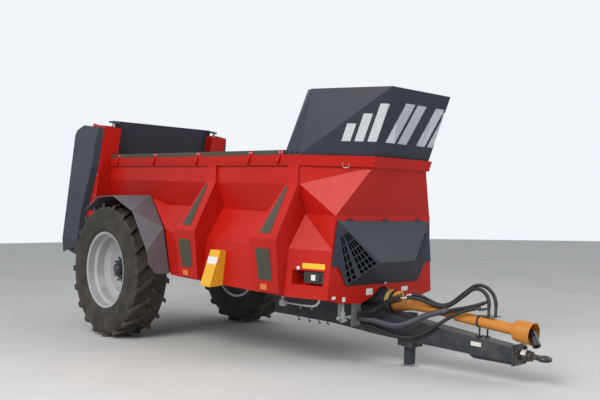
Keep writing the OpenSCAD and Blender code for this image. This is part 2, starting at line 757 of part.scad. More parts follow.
// Height of the jack's foot, where the leaning machine meets the ground
foot_z = axle_z + (jack_x * sin(nose_down) - axle_z) / cos(nose_down);

module jack_leg() {
  color([0.26, 0.28, 0.32]) {
    block([jack_x - jack_leg_y, jack_x + jack_leg_y], [-jack_leg_y, jack_leg_y],
      [foot_z + 6, jack_top_z - 30 - jack_stroke]);
    translate([jack_x, 0, foot_z]) rotate([0, -nose_down, 0]) cylinder(h = 10, r = 100);
  }
}

// Places its children at the right wheel's middle, Z outward
module at_wheel() {
  translate([0, -wheel_y, axle_z]) rotate([90, 0, 0]) children();
}

drum_w = [-297, -150];

module axle() {
  color([0.15, 0.16, 0.18]) {
    arm = wheel_y + drum_w[0] - 15;
    block([-axle_side / 2, axle_side / 2], [-arm, arm], [axle_z - axle_side / 2, axle_z + axle_side / 2]);
    both_sides() at_wheel() {
      translate([0, 0, drum_w[0] - 16]) cylinder(h = 11, r = 205);
      translate([0, 0, drum_w[0] - 16]) cylinder(h = 270, r = spindle_r);
    }
  }
}

module hub() {
  color([0.20, 0.22, 0.26]) at_wheel() difference() {
    union() {
      translate([0, 0, drum_w[0]]) cylinder(h = drum_w[1] - drum_w[0], r = 210);
      translate([0, 0, drum_w[1] - 1]) cylinder(h = 142, r = 120);
      translate([0, 0, -64]) cylinder(h = 18, r = 175);
      translate([0, 0, -12]) cylinder(h = 50, r = 82);
      for (i = [0 : 9]) rotate([0, 0, 36 * i]) translate([158, 0, -32]) cylinder(h = 24, r = 14, $fn = 6);
    }
    translate([0, 0, drum_w[0] - 1]) cylinder(h = 265, r = spindle_r + 0.05);
  }
}

module rim() {
  f = rim_flange_r;
  s = f - 25;
  w = rim_w / 2;
  color([0.75, 0.76, 0.78]) at_wheel() rotate_extrude($fn = 96) {
    polygon([[f, w], [f, w - 12], [s + 1, w - 14], [s - 1, w - 100], [s - 41, w - 125], [s - 41, -30],
      [s - 1, -60], [s + 1, 14 - w], [f, 12 - w], [f, -w], [f - 10, -w], [s - 9, 8 - w], [s - 11, -66],
      [s - 51, -38], [s - 51, w - 120], [s - 11, w - 94], [s - 9, w - 8], [f - 10, w]]);
    polygon([[s - 50, 0], [s - 50, -16], [330, -62], [200, -46], [142, -46], [142, -32], [200, -32],
      [330, -46]]);
  }
}

module tyre() {
  f = rim_flange_r;
  s = f - 25 + 1.3;
  b = rim_w / 2 - 15;
  w = tyre_w / 2;
  c = tyre_r - lug_h;
  half = [[s, b], [f + 0.5, b], [f + 4, w - 23], [f + 52, w - 7], [690, w], [c - 57, w - 2], [c - 35, w - 7],
    [c - 4, w - 31], [c, 0]];
  lug = [[-118, 6], [-66, 6], [112, w - 9], [52, w - 9]];
  lug_top = sqrt(tyre_r * tyre_r - 118 * 118);
  color([0.10, 0.10, 0.10]) at_wheel() {
    rotate_extrude($fn = 96) polygon(concat(half, [for (i = [7 : -1 : 0]) [half[i][0], -half[i][1]]]));
    for (i = [0 : lug_count - 1], k = [-1, 1])
      rotate([0, 0, (i + (k + 1) / 4) * 360 / lug_count]) rotate([-90, 0, 0])
        translate([0, 0, c - 42]) linear_extrude(lug_top - c + 42)
          polygon([for (p = lug) [p[0], -k * p[1]]]);
  }
}

// The fender's edges of the right side, as [x, z] rows from the rear: outer edge, then inner edge
fender_out = [[-620, 1660], [-250, 1860], [162, 1889], [685, 1704], [1061, 1234], [1130, 1060]];
fender_in = [[-620, 1690], [-250, 1885], [250, 1905], [930, 1505], [1120, skirt_z + 10]];

module fender() {
  t = 8;
  out = [for (p = fender_out) [p[0], -fender_y, p[1]]];
  in = [for (i = [0 : 4])
    [fender_in[i][0], -max(wall_y(fender_in[i][1]) + fit, i > 2 ? 990 + 10 * i : 0), fender_in[i][1]]];
  corner = [1150, 80 - fender_y, skirt_z + 25];
  outer = concat(out, in, [corner]);
  shift = [[4, -7], [2, -8], [-2, -8], [-5, -7], [-8, -3], [-8, 0], [4, -7], [2, -8], [-2, -8],
    [-7, -5], [-8, 0], [-8, 0]];
  inner = [for (i = [0 : 11]) outer[i] + [shift[i][0], 0, shift[i][1]]];
  color([0.42, 0.43, 0.46]) sheet(outer, inner, [
    [0, 6, 7, 1], [1, 7, 8, 2], [2, 8, 3], [3, 8, 9], [3, 9, 4], [4, 9, 10, 11, 5]
  ]);
}

// Height up the rear's slope of machine height z, at the front plates
function slope_h(z) = (z - floor_z + frame_d * sin(rear_lean)) / cos(rear_lean);

module rear_posts() {
  plate = [[fold_y - wall_t, -300], [frame_y, -300], [frame_y, frame_top], [band_y - 70, frame_top],
    [band_y - 70, slope_h(band_z)], [fold_y - wall_t, slope_h(fold_z)]];
  color([0.80, 0.11, 0.08]) on_rear() both_sides() {
    run_x(frame_d - 12, frame_d, plate);
    block([-200, frame_d], [frame_y - 12, frame_y], [-300, frame_top]);
    block([5, 15], [gate_y - 60, frame_y - 12], [-300, frame_top]);
    block([-gate_t - 20, -gate_t - 5], [gate_y - 60, frame_y - 12], [-300, frame_top]);
    block([55, 105], [cylinder_y - 40, frame_y - 12], [200, 250]);
  }
}

module rear_sill() {
  color([0.80, 0.11, 0.08]) on_rear()
    block([-60, frame_d], [wall_t - fold_y, fold_y - wall_t], [-300, -213]);
}

module gate() {
  color([0.22, 0.24, 0.27]) on_rear() {
    block([-gate_t, 0], [-gate_y, gate_y], [65, gate_top]);
    both_sides() block([-gate_t, 105], [gate_y - 60, cylinder_y + 35], [gate_top - 30, gate_top - 8]);
  }
}

module gate_cylinders() {
  color([0.10, 0.10, 0.11]) on_rear() both_sides() translate([80, cylinder_y, 250 + fit]) difference() {
    cylinder(h = barrel_h, r = 36);
    translate([0, 0, 40]) cylinder(h = barrel_h, r = gate_rod_r + 0.05);
  }
}

module gate_rods() {
  color([0.80, 0.81, 0.83]) on_rear() both_sides() translate([80, cylinder_y, gate_top - 30 - fit - rod_h])
    cylinder(h = rod_h, r = gate_rod_r);
}

// Corners of the side shield's outer plate as [x, z], and the ends of its two folds, front then rear
shield_low = [[-95, -120], [-338, -217], [-534, -318], [-565, -206]];
shield_top = [[-549, 1547], [-354, 1648], [100, 1690]];
shield_front = [[75, 1120], [-80, 400]];
shield_folds = [[[92, 1491], [-550, 1470]], [[-92, -6], [-563, -115]]];

module shield() {
  t = 6;
  // Rows of [x, z, half width]: folds and front corners of the flat plate, then the panels bent inward
  flat = [shield_folds[0][1], shield_folds[0][0], shield_front[0], shield_front[1], shield_folds[1][0],
    shield_folds[1][1]];
  plate = concat([for (p = flat) [p[0], -shield_y, p[1]]],
    [for (p = concat(shield_low, shield_top)) [p[0], 25 - shield_y, p[1]]]);
  front = [12, 1, 2, 3, 4, 6];
  flange = [for (i = front) [plate[i][0] + 42, -frame_y - fit, plate[i][2]]];
  is_front = [for (i = [0 : 12]) len([for (k = front) if (k == i) 1]) > 0];
  color([0.20, 0.22, 0.25]) on_rear() sheet(
    concat(plate, flange),
    concat([for (i = [0 : 12]) plate[i] + [is_front[i] ? -0.6 * t : 0, t, 0]],
      [for (p = flange) p - [t, 0, 0]]),
    concat(
      [[0, 1, 2, 3, 4, 5], [5, 4, 6, 7, 8, 9], [10, 11, 12, 1, 0]],
      [for (i = [0 : 4]) [front[i], 13 + i, 14 + i, front[i + 1]]]
    )
  );
}

module adapter_beams() {
  inner = frame_y - 12 - fit;
  color([0.20, 0.22, 0.25]) on_rear() {
    difference() {
      union() {
        block([rotor_x - 60, rotor_x + 100], [-inner, inner], [-290, -150]);
        block([rotor_x - 60, rotor_x + 60], [-inner, inner], [rotor_h + 30, rotor_h + 120]);
        for (y = [-rotor_span / 2, rotor_span / 2]) translate([rotor_x, y, -151]) cylinder(h = 41, r = 120);
        both_sides() for (z = [[-290, -150], [rotor_h + 30, rotor_h + 120]])
          block([rotor_x - 60, -gate_t - 35], [inner - 12, inner], z);
      }
      for (y = [-rotor_span / 2, rotor_span / 2]) {
        translate([rotor_x, y, -200]) cylinder(h = 200, r = rotor_pin_r + 0.05);
        translate([rotor_x, y, rotor_h]) cylinder(h = 80, r = rotor_pin_r + 0.05);
      }
    }
    block([rotor_x - 110, rotor_x + 100], [-110, 110], [-300, -130]);
  }
}

// One helical flight from angle a0, turning up the tube
module flight(a0) {
  steps = 28;
  turns = 1.6;
  z0 = -60;
  seat_r = (rotor_tube_r + fit) / cos(180 * turns / steps);
  skin([for (i = [0 : steps])
    let (a = a0 + 360 * turns * i / steps, z = z0 + (rotor_h - 120 - z0) * i / steps, u = [cos(a), sin(a)])
    [[flight_r * u[0], flight_r * u[1], z + 10], [flight_r * u[0], flight_r * u[1], z],
     [seat_r * u[0], seat_r * u[1], z], [seat_r * u[0], seat_r * u[1], z + 10]]], 1);
}

module rotor() {
  color([0.80, 0.12, 0.09]) on_rear() translate([rotor_x, -rotor_span / 2, 0]) {
    translate([0, 0, -100]) cylinder(h = 10, r = disc_r);
    translate([0, 0, -91]) cylinder(h = rotor_h + 61, r = rotor_tube_r);
    translate([0, 0, rotor_h - 31]) cylinder(h = 106, r = rotor_pin_r);
    translate([0, 0, -195]) cylinder(h = 96, r = rotor_pin_r);
    for (a = [0, 180]) flight(a);
    for (a = [45 : 90 : 315]) rotate([0, 0, a]) block([180, disc_r - 6], [-4, 4], [-91, -35]);
  }
}

// A hydraulic block with a white switch box and a rod, in the pocket of the right skirt
module side_box() {
  back = -pocket_y - fit;
  low = pocket_z[0] + 25;
  color([0.10, 0.10, 0.11]) {
    translate([0, 0, low]) linear_extrude(115) polygon([[pocket_x[0] + 105, back], [pocket_x[1] - 5, back],
      [pocket_x[1] - 5, back - 20], [pocket_x[0] + 105, back - 95]]);
    translate([0, 0, low + 18]) linear_extrude(78) polygon([[pocket_x[0] + 190, back - 10],
      [pocket_x[0] + 285, back - 10], [pocket_x[0] + 285, back - 46], [pocket_x[0] + 190, back - 78]]);
    rod_x(pocket_x[0] + 10, pocket_x[0] + 110, back - 75, low + 70, 8);
  }
}

// The way along a route at its point i
function way(p, i) =
  let (a = p[max(i - 1, 0)], b = p[min(i + 1, len(p) - 1)]) (b - a) / norm(b - a);

// A tube of diameter d along a route that stays near the XZ plane
module tube(p, d) {
  skin([for (i = [0 : len(p) - 1])
    let (w = way(p, i), c = cross([0, 1, 0], w), side = c / norm(c), up = cross(w, side))
    [for (a = [0 : 36 : 324]) p[i] + d / 2 * (cos(a) * side + sin(a) * up)]]);
}

// A round socket from point p along direction w
module socket(p, w, length, r) {
  n = norm(w);
  translate(p) rotate([0, acos(w[2] / n), atan2(w[1], w[0])]) cylinder(h = length, r = r);
}

// A bent tube below the right skirt, held at its rear by a block under the cross beam
module step_tube() {
  y = -865;
  color([0.80, 0.81, 0.82]) {
    tube([[3130, y, 836], [3300, y, 840], [3450, y, 843], [3560, y, 850], [3612, y, 868], [3645, y, 902],
      [3658, y, 952]], 24);
    block([3060, 3140], [y - 20, y + 20], [795, 859]);
    block([3080, 3110], [y - 12, y + 12], [858, axle_z + axle_side / 2 - fit]);
  }
}

module wheel_chock() {
  // The skirt's outer face is skirt_mid_y out at its fold and skirt_y out at its bottom edge
  slope = (skirt_y - skirt_mid_y) / (skirt_mid_z - skirt_z);
  function seat(z) = -skirt_mid_y - fit - slope * (skirt_mid_z - z);
  color([0.92, 0.68, 0.12]) run_x(2060, 2245, [[seat(925), 925], [-1217, 912], [-1217, 937], [-1090, 1320],
    [seat(1320), 1320]]);
}

marker = [[176, 1043], [176, 979], [276, 979], [276, 1043]];

module side_markers() {
  color([0.85, 0.40, 0.05]) both_sides() for (x = [pillar_1_x, pillar_2_x]) pillar_panel(x, marker, 14);
}

module rear_lamps() {
  color([0.70, 0.05, 0.04]) on_rear() both_sides()
    block([rotor_x - 95, rotor_x - 60 - fit], [900, 1040], [-280, -170]);
}

module brake_valves() {
  wall_x = front_x - wall_t - fit;
  color([0.62, 0.63, 0.62]) {
    block([port_x - 40, wall_x], [-330, -250], [892, 900]);
    block([port_x - 40, port_x - 32], [-330, -190], [600, 900]);
    for (p = ports) rod_x(port_x - 33, port_x - fit, p[0], p[1], 15);
    block([wall_x - 8, wall_x], [-650, -570], [700, 905]);
    translate([wall_x + 22, -610, 690]) {
      cylinder(h = 110, r = 28);
      cylinder(h = 160, r = 13);
    }
    rod_y(wall_x + 22, 740, -680, -540, 13);
    rod_x(wall_x + 22, wall_x + 80, -610, 718, 11);
  }
}

module hose_stand() {
  x = stand[0];
  y = stand[1];
  pad = drawbar_top(x) + 10;
  color([0.10, 0.10, 0.11]) {
    drawbar_pad([x - 25, x + 25], [y - 20, y + 14], pad);
    translate([x, y, pad - 1]) cylinder(h = 1060 - pad, r = 9);
    block([x - 13, loop_ends[0][0] + 22], [-42, y + 14], [stand_plate_z - 8, stand_plate_z]);
    block([x - 7, x + 7], [-92, y + 5], [948, 970]);
    for (p = loop_ends)
      translate([p[0], p[1], stand_plate_z - 1]) cylinder(h = plug_z - stand_plate_z + 1 - fit, r = 15);
    socket(middle_end + fit * middle_way / norm(middle_way), middle_way, 50, 15);
    socket(low_end + fit * low_way / norm(low_way), low_way, 62, 15);
  }
}

parked() side_walls();
parked() load_floor();
parked() front_wall();
parked() skirts();
parked() pillars();
parked() pillar_panels();
parked() top_rail();
parked() rail_strips();
parked() front_screen();
parked() screen_windows();
parked() hood();
parked() floor_chain();
parked() chain_shafts();
parked() gearbox();
parked() driveshaft();
parked() pto_guard();
parked() pto_shaft();
parked() pto_rest();
parked() chassis_rails();
parked() cross_beams();
parked() drawbar();
parked() drawbar_head();
parked() towing_eye();
parked() jack_tube();
parked() jack_leg();
parked() axle();
parked() hub();  // hub_right
parked() mirror([0, 1, 0]) hub();  // hub_left
parked() rim();  // rim_right
parked() mirror([0, 1, 0]) rim();  // rim_left
parked() tyre();  // tyre_right
parked() mirror([0, 1, 0]) tyre();  // tyre_left
parked() fender();  // fender_right
parked() mirror([0, 1, 0]) fender();  // fender_left
parked() rear_posts();
parked() rear_sill();
parked() gate();
parked() gate_cylinders();
parked() gate_rods();
parked() shield();  // shield_right
parked() mirror([0, 1, 0]) shield();  // shield_left
parked() adapter_beams();
parked() rotor();  // rotor_right
parked() mirror([0, 1, 0]) rotor();  // rotor_left
parked() side_box();
parked() step_tube();
parked() wheel_chock();
parked() side_markers();
parked() rear_lamps();
parked() brake_valves();
parked() hose_stand();
parked() color([0.10, 0.10, 0.11]) tube(coil_1, coil_d);  // coil_hose_1
parked() color([0.10, 0.10, 0.11]) tube(coil_2, coil_d);  // coil_hose_2
parked() color([0.10, 0.10, 0.11]) tube(loop_1, hose_d);  // loop_hose_1
parked() color([0.10, 0.10, 0.11]) tube(loop_2, hose_d);  // loop_hose_2
parked() color([0.35, 0.37, 0.42]) tube(sleeve, coil_d);  // sleeve_hose
parked() color([0.10, 0.10, 0.11]) tube(middle, hose_d);  // middle_hose
parked() color([0.10, 0.10, 0.11]) tube(low, hose_d);  // low_hose
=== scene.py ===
"""Looks of a trailed manure spreader: finishes, hoses, fasteners, blank plates, light and camera.

Lengths are in metres. Places on the machine are given in its own level frame, with x = 0 at the axle
and z = 0 at the ground, and machine() carries them onto the parked machine, which leans on its jack.
"""
import json
import math

import bpy
import numpy as np
from mathutils import Matrix, Vector


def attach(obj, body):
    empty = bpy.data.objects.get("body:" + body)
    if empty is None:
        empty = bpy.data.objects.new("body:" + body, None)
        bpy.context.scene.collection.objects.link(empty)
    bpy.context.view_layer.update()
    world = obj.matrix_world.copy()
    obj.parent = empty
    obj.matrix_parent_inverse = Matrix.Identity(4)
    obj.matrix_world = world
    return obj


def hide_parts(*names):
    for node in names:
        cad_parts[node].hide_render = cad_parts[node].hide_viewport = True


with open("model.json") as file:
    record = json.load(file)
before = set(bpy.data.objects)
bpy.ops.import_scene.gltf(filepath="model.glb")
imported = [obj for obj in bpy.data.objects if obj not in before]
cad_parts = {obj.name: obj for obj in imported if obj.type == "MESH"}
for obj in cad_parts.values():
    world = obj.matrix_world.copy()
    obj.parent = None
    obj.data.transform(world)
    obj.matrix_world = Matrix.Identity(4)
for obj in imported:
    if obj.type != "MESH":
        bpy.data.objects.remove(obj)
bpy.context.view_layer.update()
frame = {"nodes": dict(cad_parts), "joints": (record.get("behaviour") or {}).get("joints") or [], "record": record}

# Stance of the parked machine, and its wheels
JOINTS = {joint["name"]: joint for joint in frame["joints"]}
AXLE_X, _, AXLE_Z = JOINTS["wheel_right_spin"]["pos_m"]
WHEEL_Y = abs(JOINTS["wheel_right_spin"]["pos_m"][1])
NOSE_DOWN = math.radians(3.4)
TYRE_R, SHOULDER_R = 0.889, 0.800

# Front wall's face, and the level band of it that the hood covers
FRONT_X = 3.745
HOOD_FOOT_Z, HOOD_TOP_Z = 1.085, 1.720

# Top rail, its outer face (a half width at a height, and how far it leans out a metre up) and the half
# width over the strips on it
RAIL_Y, RAIL_TOP, RAIL_H = 0.905, 2.410, 0.110
RAIL_FACE_Y, RAIL_FACE_Z, RAIL_LEAN = 0.9073, 2.310, 0.2273
STRIP_Y = 0.9003

# Skirt's outer face about the pocket: a half width at a point, and how far it draws in a metre ahead and up
SKIRT_FACE_Y, SKIRT_FACE_X, SKIRT_FACE_Z = 0.9503, 3.450, 1.265
SKIRT_TAPER, SKIRT_LEAN = 0.458, 0.104

# Drawbar's outer side: a half width at a place, and how far it draws in a metre ahead
DRAWBAR_Y, DRAWBAR_X, DRAWBAR_TAPER = 0.4205, 2.450, 0.18

# Front face of the drawbar's head plates, height of the boss on them, and top of the jack's foot plate
HEAD_FACE_X, BOSS_Z, JACK_FOOT_TOP = 5.4503, 0.600, 0.014

# Wheel chock's outer face: its half width and height at the foot and at the top, and its two ends
CHOCK_FOOT, CHOCK_TOP = (1.217, 0.937), (1.090, 1.320)
CHOCK_X = (2.0601, 2.2449)

# Leaning rear: the foot of its gate, its frame, and the rotors with their helical flights and knives
REAR_LEAN = math.radians(11)
GATE_FOOT = (-1.094, 1.200)
FRAME_Y = 1.065
ROTOR_X, ROTOR_Y = -0.500, 0.450
FLIGHT_TURNS, FLIGHT_Z = 1.6, (-0.060, 1.280)
KNIVES, KNIFE_R = 9, 0.385

# Shaft to the tractor: its rear end and its droop
PTO_X, PTO_Z, PTO_DROOP = 3.770, 0.910, math.radians(3.4)

# A hair's gap between a label or fitting and the face it sits on, and the labels' thickness
HAIR, LABEL_T = 0.0001, 0.0016

# Camera of the photograph, measured from the axle along the ground
CAMERA_X, CAMERA_Y, CAMERA_Z = 9.124, -6.179, 1.464
CAMERA_TURN = math.radians(47.32)
CAMERA_RISE = math.radians(2.0)
CAMERA_ROLL = math.radians(-0.18)
FOCAL_PIXELS, IMAGE_WIDTH, SENSOR = 746.2, 600, 36.0

# Hose routes from the machine to the far end, as in the part's source
PORT_X = 3.640
COIL_1 = np.array([[PORT_X, -0.215, 0.770], [3.740, -0.215, 0.770], [3.840, -0.207, 0.802],
                   [3.940, -0.190, 0.866], [4.040, -0.167, 0.934], [4.130, -0.140, 0.979],
                   [4.210, -0.112, 0.997]])
COIL_2 = np.array([[PORT_X, -0.285, 0.758], [3.740, -0.285, 0.758], [3.840, -0.277, 0.788],
                   [3.940, -0.259, 0.848], [4.040, -0.235, 0.912], [4.120, -0.210, 0.952],
                   [4.200, -0.178, 0.970]])
LOOP_1 = np.array([[4.210, -0.112, 0.997], [4.250, -0.098, 1.006], [4.310, -0.076, 1.003],
                   [4.370, -0.052, 0.982], [4.430, -0.028, 0.955], [4.480, -0.008, 0.935],
                   [4.535, 0.008, 0.930], [4.592, 0.016, 0.943], [4.650, 0.018, 0.972],
                   [4.710, 0.018, 1.017], [4.770, 0.018, 1.066], [4.830, 0.018, 1.114],
                   [4.887, 0.018, 1.156], [4.930, 0.018, 1.174], [4.975, 0.018, 1.180],
                   [5.035, 0.018, 1.169], [5.088, 0.018, 1.139], [5.127, 0.018, 1.092],
                   [5.147, 0.018, 1.035], [5.150, 0.018, 1.005], [5.150, 0.018, 0.995]])
LOOP_2 = np.array([[4.200, -0.178, 0.970], [4.240, -0.162, 0.979], [4.300, -0.138, 0.980],
                   [4.360, -0.112, 0.968], [4.420, -0.086, 0.948], [4.480, -0.060, 0.929],
                   [4.535, -0.040, 0.919], [4.592, -0.026, 0.922], [4.650, -0.022, 0.945],
                   [4.710, -0.022, 0.983], [4.770, -0.022, 1.030], [4.830, -0.022, 1.074],
                   [4.882, -0.022, 1.118], [4.928, -0.022, 1.142], [4.977, -0.022, 1.147],
                   [5.025, -0.022, 1.134], [5.066, -0.022, 1.103], [5.091, -0.022, 1.062],
                   [5.100, -0.022, 1.015], [5.100, -0.022, 0.995]])
SLEEVE = np.array([[PORT_X, -0.250, 0.690], [3.740, -0.250, 0.690], [3.840, -0.252, 0.697],
                   [3.940, -0.252, 0.691], [4.040, -0.250, 0.684], [4.140, -0.244, 0.686],
                   [4.240, -0.230, 0.712], [4.330, -0.206, 0.755], [4.410, -0.176, 0.800],
                   [4.490, -0.144, 0.838], [4.570, -0.112, 0.869], [4.650, -0.084, 0.893]])
MIDDLE = np.array([[4.650, -0.084, 0.893], [4.690, -0.070, 0.905], [4.750, -0.051, 0.922],
                   [4.810, -0.034, 0.938], [4.870, -0.014, 0.956], [4.925, 0.010, 0.976],
                   [4.975, 0.032, 0.997], [5.005, 0.042, 1.012]])
LOW = np.array([[PORT_X, -0.206, 0.632], [3.720, -0.206, 0.632], [3.800, -0.202, 0.623],
                [3.880, -0.190, 0.604], [3.960, -0.181, 0.587], [4.040, -0.172, 0.573],
                [4.120, -0.165, 0.566], [4.200, -0.158, 0.568], [4.280, -0.150, 0.580],
                [4.350, -0.143, 0.603], [4.420, -0.136, 0.638], [4.490, -0.130, 0.682],
                [4.560, -0.123, 0.732], [4.630, -0.116, 0.783], [4.700, -0.108, 0.832],
                [4.770, -0.099, 0.876], [4.840, -0.091, 0.912], [4.910, -0.084, 0.940],
                [4.980, -0.078, 0.960]])
HOSE_D, SLEEVE_D, COIL_D, AIR_TUBE_D = 0.036, 0.060, 0.074, 0.013

# Air hose's coil: its pitch, the way over which it opens, the ways before and over which it starts to
# turn, and the step between the points along the tube
COIL_PITCH, COIL_OPENING, COIL_STRAIGHT, COIL_TURN_IN, AIR_TUBE_STEP = 0.030, 0.055, 0.030, 0.050, 0.011

# Sky's strength on the object and where it is seen, and half the floor's side
SKY_ON_OBJECT, SKY_SEEN = 0.58, 0.95
FLOOR_HALF = 60


# Places


def machine(points):
    """Level machine points to the parked machine: turned by NOSE_DOWN about the axle, then shifted."""
    p = np.asarray(points, float) - (0, 0, AXLE_Z)
    c, s = math.cos(NOSE_DOWN), math.sin(NOSE_DOWN)
    return np.stack([p[..., 0] * c + p[..., 2] * s + AXLE_X, p[..., 1],
                     -p[..., 0] * s + p[..., 2] * c + AXLE_Z], -1)


def rear(points):
    """Points of the leaning rear (x ahead of the gate, z up its slope) to level machine points."""
    p = np.asarray(points, float)
    c, s = math.cos(REAR_LEAN), math.sin(REAR_LEAN)
    return np.stack([p[..., 0] * c + p[..., 2] * s + GATE_FOOT[0], p[..., 1],
                     -p[..., 0] * s + p[..., 2] * c + GATE_FOOT[1]], -1)


def mirrored(rows):
    """The other side's copy of a loft: y changes sign and each loop runs the other way."""
    return (rows * (1, -1, 1))[:, ::-1]


def skirt_face(x, z):
    """Half width of the skirt's outer face about the pocket, a plane that draws in ahead and up."""
    return SKIRT_FACE_Y - SKIRT_TAPER * (x - SKIRT_FACE_X) - SKIRT_LEAN * (z - SKIRT_FACE_Z)


def rail_face(z):
    """Half width of the top rail's outer face, a plane that leans out as it goes up."""
    return RAIL_FACE_Y + RAIL_LEAN * (z - RAIL_FACE_Z)


def drawbar_side(x):
    """Half width of the drawbar's outer side, which draws in by its taper a metre ahead."""
    return DRAWBAR_Y - (x - DRAWBAR_X) * DRAWBAR_TAPER


# Surfaces as grids of points


def unit(v):
    """Vectors divided by their own lengths."""
    return v / np.linalg.norm(v, axis=-1, keepdims=True)


def way_along(path):
    """The way from the start of a path to each of its points, as the sum of the steps before it."""
    return np.concatenate([[0], np.cumsum(np.linalg.norm(np.diff(path, axis=0), axis=1))])


def evenly(path, count):
    """A number of points at even steps along a path, each on the straight line between two of its own."""
    way = way_along(path)
    even = np.linspace(0, way[-1], count)
    return np.stack([np.interp(even, way, path[:, k]) for k in range(3)], -1)


def smooth_path(points, count):
    """Even points on the cubic curve through the given ones, whose slope at a point is half the step
    from its neighbour before to its neighbour after."""
    p = np.concatenate([2 * points[:1] - points[1:2], points, 2 * points[-1:] - points[-2:-1]])
    a, b, c, d = p[:-3], p[1:-2], p[2:-1], p[3:]
    t = np.linspace(0, 1, 24, endpoint=False)[:, None, None]
    fine = 0.5 * (2 * b + (c - a) * t + (2 * a - 5 * b + 4 * c - d) * t ** 2
                  + (3 * b - a - 3 * c + d) * t ** 3)
    return evenly(np.concatenate([fine.transpose(1, 0, 2).reshape(-1, 3), points[-1:]]), count)


def tube(path, radius, sides, across=(0, 1, 0)):
    """Rings about a path: point + r (cos a, sin a) in the plane square to the path's direction. The
    first axis of the plane is square to the path and to the vector across."""
    ahead = unit(np.gradient(path, axis=0))
    first = unit(np.cross(np.asarray(across, float), ahead))
    second = np.cross(ahead, first)
    a = np.linspace(0, 2 * np.pi, sides, endpoint=False)[None, :, None]
    r = np.broadcast_to(radius, len(path))[:, None, None]
    return path[:, None] + r * (np.cos(a) * first[:, None] + np.sin(a) * second[:, None])


def turned(profile, sides):
    """A profile of (radius, height) pairs turned about the z axis."""
    profile = np.asarray(profile, float)
    a = np.linspace(0, 2 * np.pi, sides, endpoint=False)
    return np.stack([profile[:, :1] * np.cos(a), profile[:, :1] * np.sin(a),
                     np.repeat(profile[:, 1:], sides, 1)], -1)


def hex_head(radius, height):
    """A bolt head: a hexagon of that corner radius, whose corners are cut back near the top to a circle
    just past its flats, and whose end is a low dome."""
    sides = 24
    a = np.linspace(0, 2 * np.pi, sides, endpoint=False)
    flat = radius * math.cos(math.pi / 6)
    hexagon = flat / np.cos(np.mod(a, math.pi / 3) - math.pi / 6)
    rows = [(hexagon, 0), (hexagon, 0.72 * height), (np.minimum(hexagon, 1.02 * flat), height),
            (np.full(sides, 0.8 * flat), 1.02 * height)]
    return np.stack([np.stack([r * np.cos(a), r * np.sin(a), np.full(sides, z)], -1) for r, z in rows])


def plate(width, height, thickness, corner=0.004, bevel=0.001):
    """A flat piece with round corners, square to z: four outlines up its edge, the first and the last
    drawn in by the bevel. An outline is a rectangle drawn in by the corner radius, plus a circle of
    that radius."""
    sides = 24
    a = (np.arange(sides) + 0.5) * 2 * np.pi / sides
    circle = np.stack([np.cos(a), np.sin(a)], -1)
    centre = np.sign(circle) * (np.array([width, height]) / 2 - corner)
    rows = [(corner - bevel, 0), (corner, bevel), (corner, thickness - bevel), (corner - bevel, thickness)]
    return np.stack([np.concatenate([centre + r * circle, np.full((sides, 1), z)], 1) for r, z in rows])


def put(rows, place, normal=(0, 0, 1), across=(1, 0, 0)):
    """A loft's local z along the normal, and its local x along the part of across square to it."""
    z = unit(np.asarray(normal, float))
    x = np.asarray(across, float)
    x = unit(x - (x @ z) * z)
    return rows[..., :1] * x + rows[..., 1:2] * np.cross(z, x) + rows[..., 2:] * z + np.asarray(place, float)


def loft_faces(n, m, start, closed):
    """Quads between n loops of m points each, with the first and last loop as ends unless closed."""
    i = np.arange(n if closed else n - 1)[:, None]
    j = np.arange(m)[None]
    near, far = i * m, (i + 1) % n * m
    quads = np.stack([near + j, near + (j + 1) % m, far + (j + 1) % m, far + j], -1).reshape(-1, 4) + start
    ends = [] if closed else [list(range(start + m - 1, start - 1, -1)),
                              list(range(start + (n - 1) * m, start + n * m))]
    return quads.tolist() + ends


def add_piece(name, lofts, material, body="machine", closed=False, smooth=35, where=machine):
    """One object from lofts, arrays of loops of points that run counterclockwise about the way ahead."""
    faces, start = [], 0
    for rows in lofts:
        faces += loft_faces(rows.shape[0], rows.shape[1], start, closed)
        start += rows.shape[0] * rows.shape[1]
    points = where(np.concatenate([rows.reshape(-1, 3) for rows in lofts]))
    mesh = bpy.data.meshes.new(name)
    mesh.from_pydata(points.tolist(), [], faces)
    mesh.shade_smooth()
    mesh.set_sharp_from_angle(angle=math.radians(smooth))
    mesh.materials.append(material)
    piece = bpy.data.objects.new(name, mesh)
    bpy.context.collection.objects.link(piece)
    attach(piece, body)
    return piece


# Camera, light and stage


def add_camera():
    """A camera at the photograph's place: turned about Z, raised, then rolled about its own axis."""
    data = bpy.data.cameras.new("photo_camera")
    data.sensor_width = SENSOR
    data.lens = FOCAL_PIXELS / IMAGE_WIDTH * SENSOR
    data.clip_end = 200
    camera = bpy.data.objects.new("photo_camera", data)
    turn = (Matrix.Rotation(CAMERA_TURN, 4, "Z") @ Matrix.Rotation(math.pi / 2 + CAMERA_RISE, 4, "X")
            @ Matrix.Rotation(CAMERA_ROLL, 4, "Z"))
    camera.matrix_world = Matrix.Translation((CAMERA_X + AXLE_X, CAMERA_Y, CAMERA_Z)) @ turn
    bpy.context.collection.objects.link(camera)
    bpy.context.scene.camera = camera


def add_light(name, place, target, size, power, colour):
    """A round lamp of a given size that points from its place to a target."""
    data = bpy.data.lights.new(name, "AREA")
    data.shape, data.size, data.energy, data.color = "DISK", size, power, colour
    lamp = bpy.data.objects.new(name, data)
    lamp.location = place
    lamp.rotation_euler = (Vector(target) - Vector(place)).to_track_quat("-Z", "Y").to_euler()
    bpy.context.collection.objects.link(lamp)


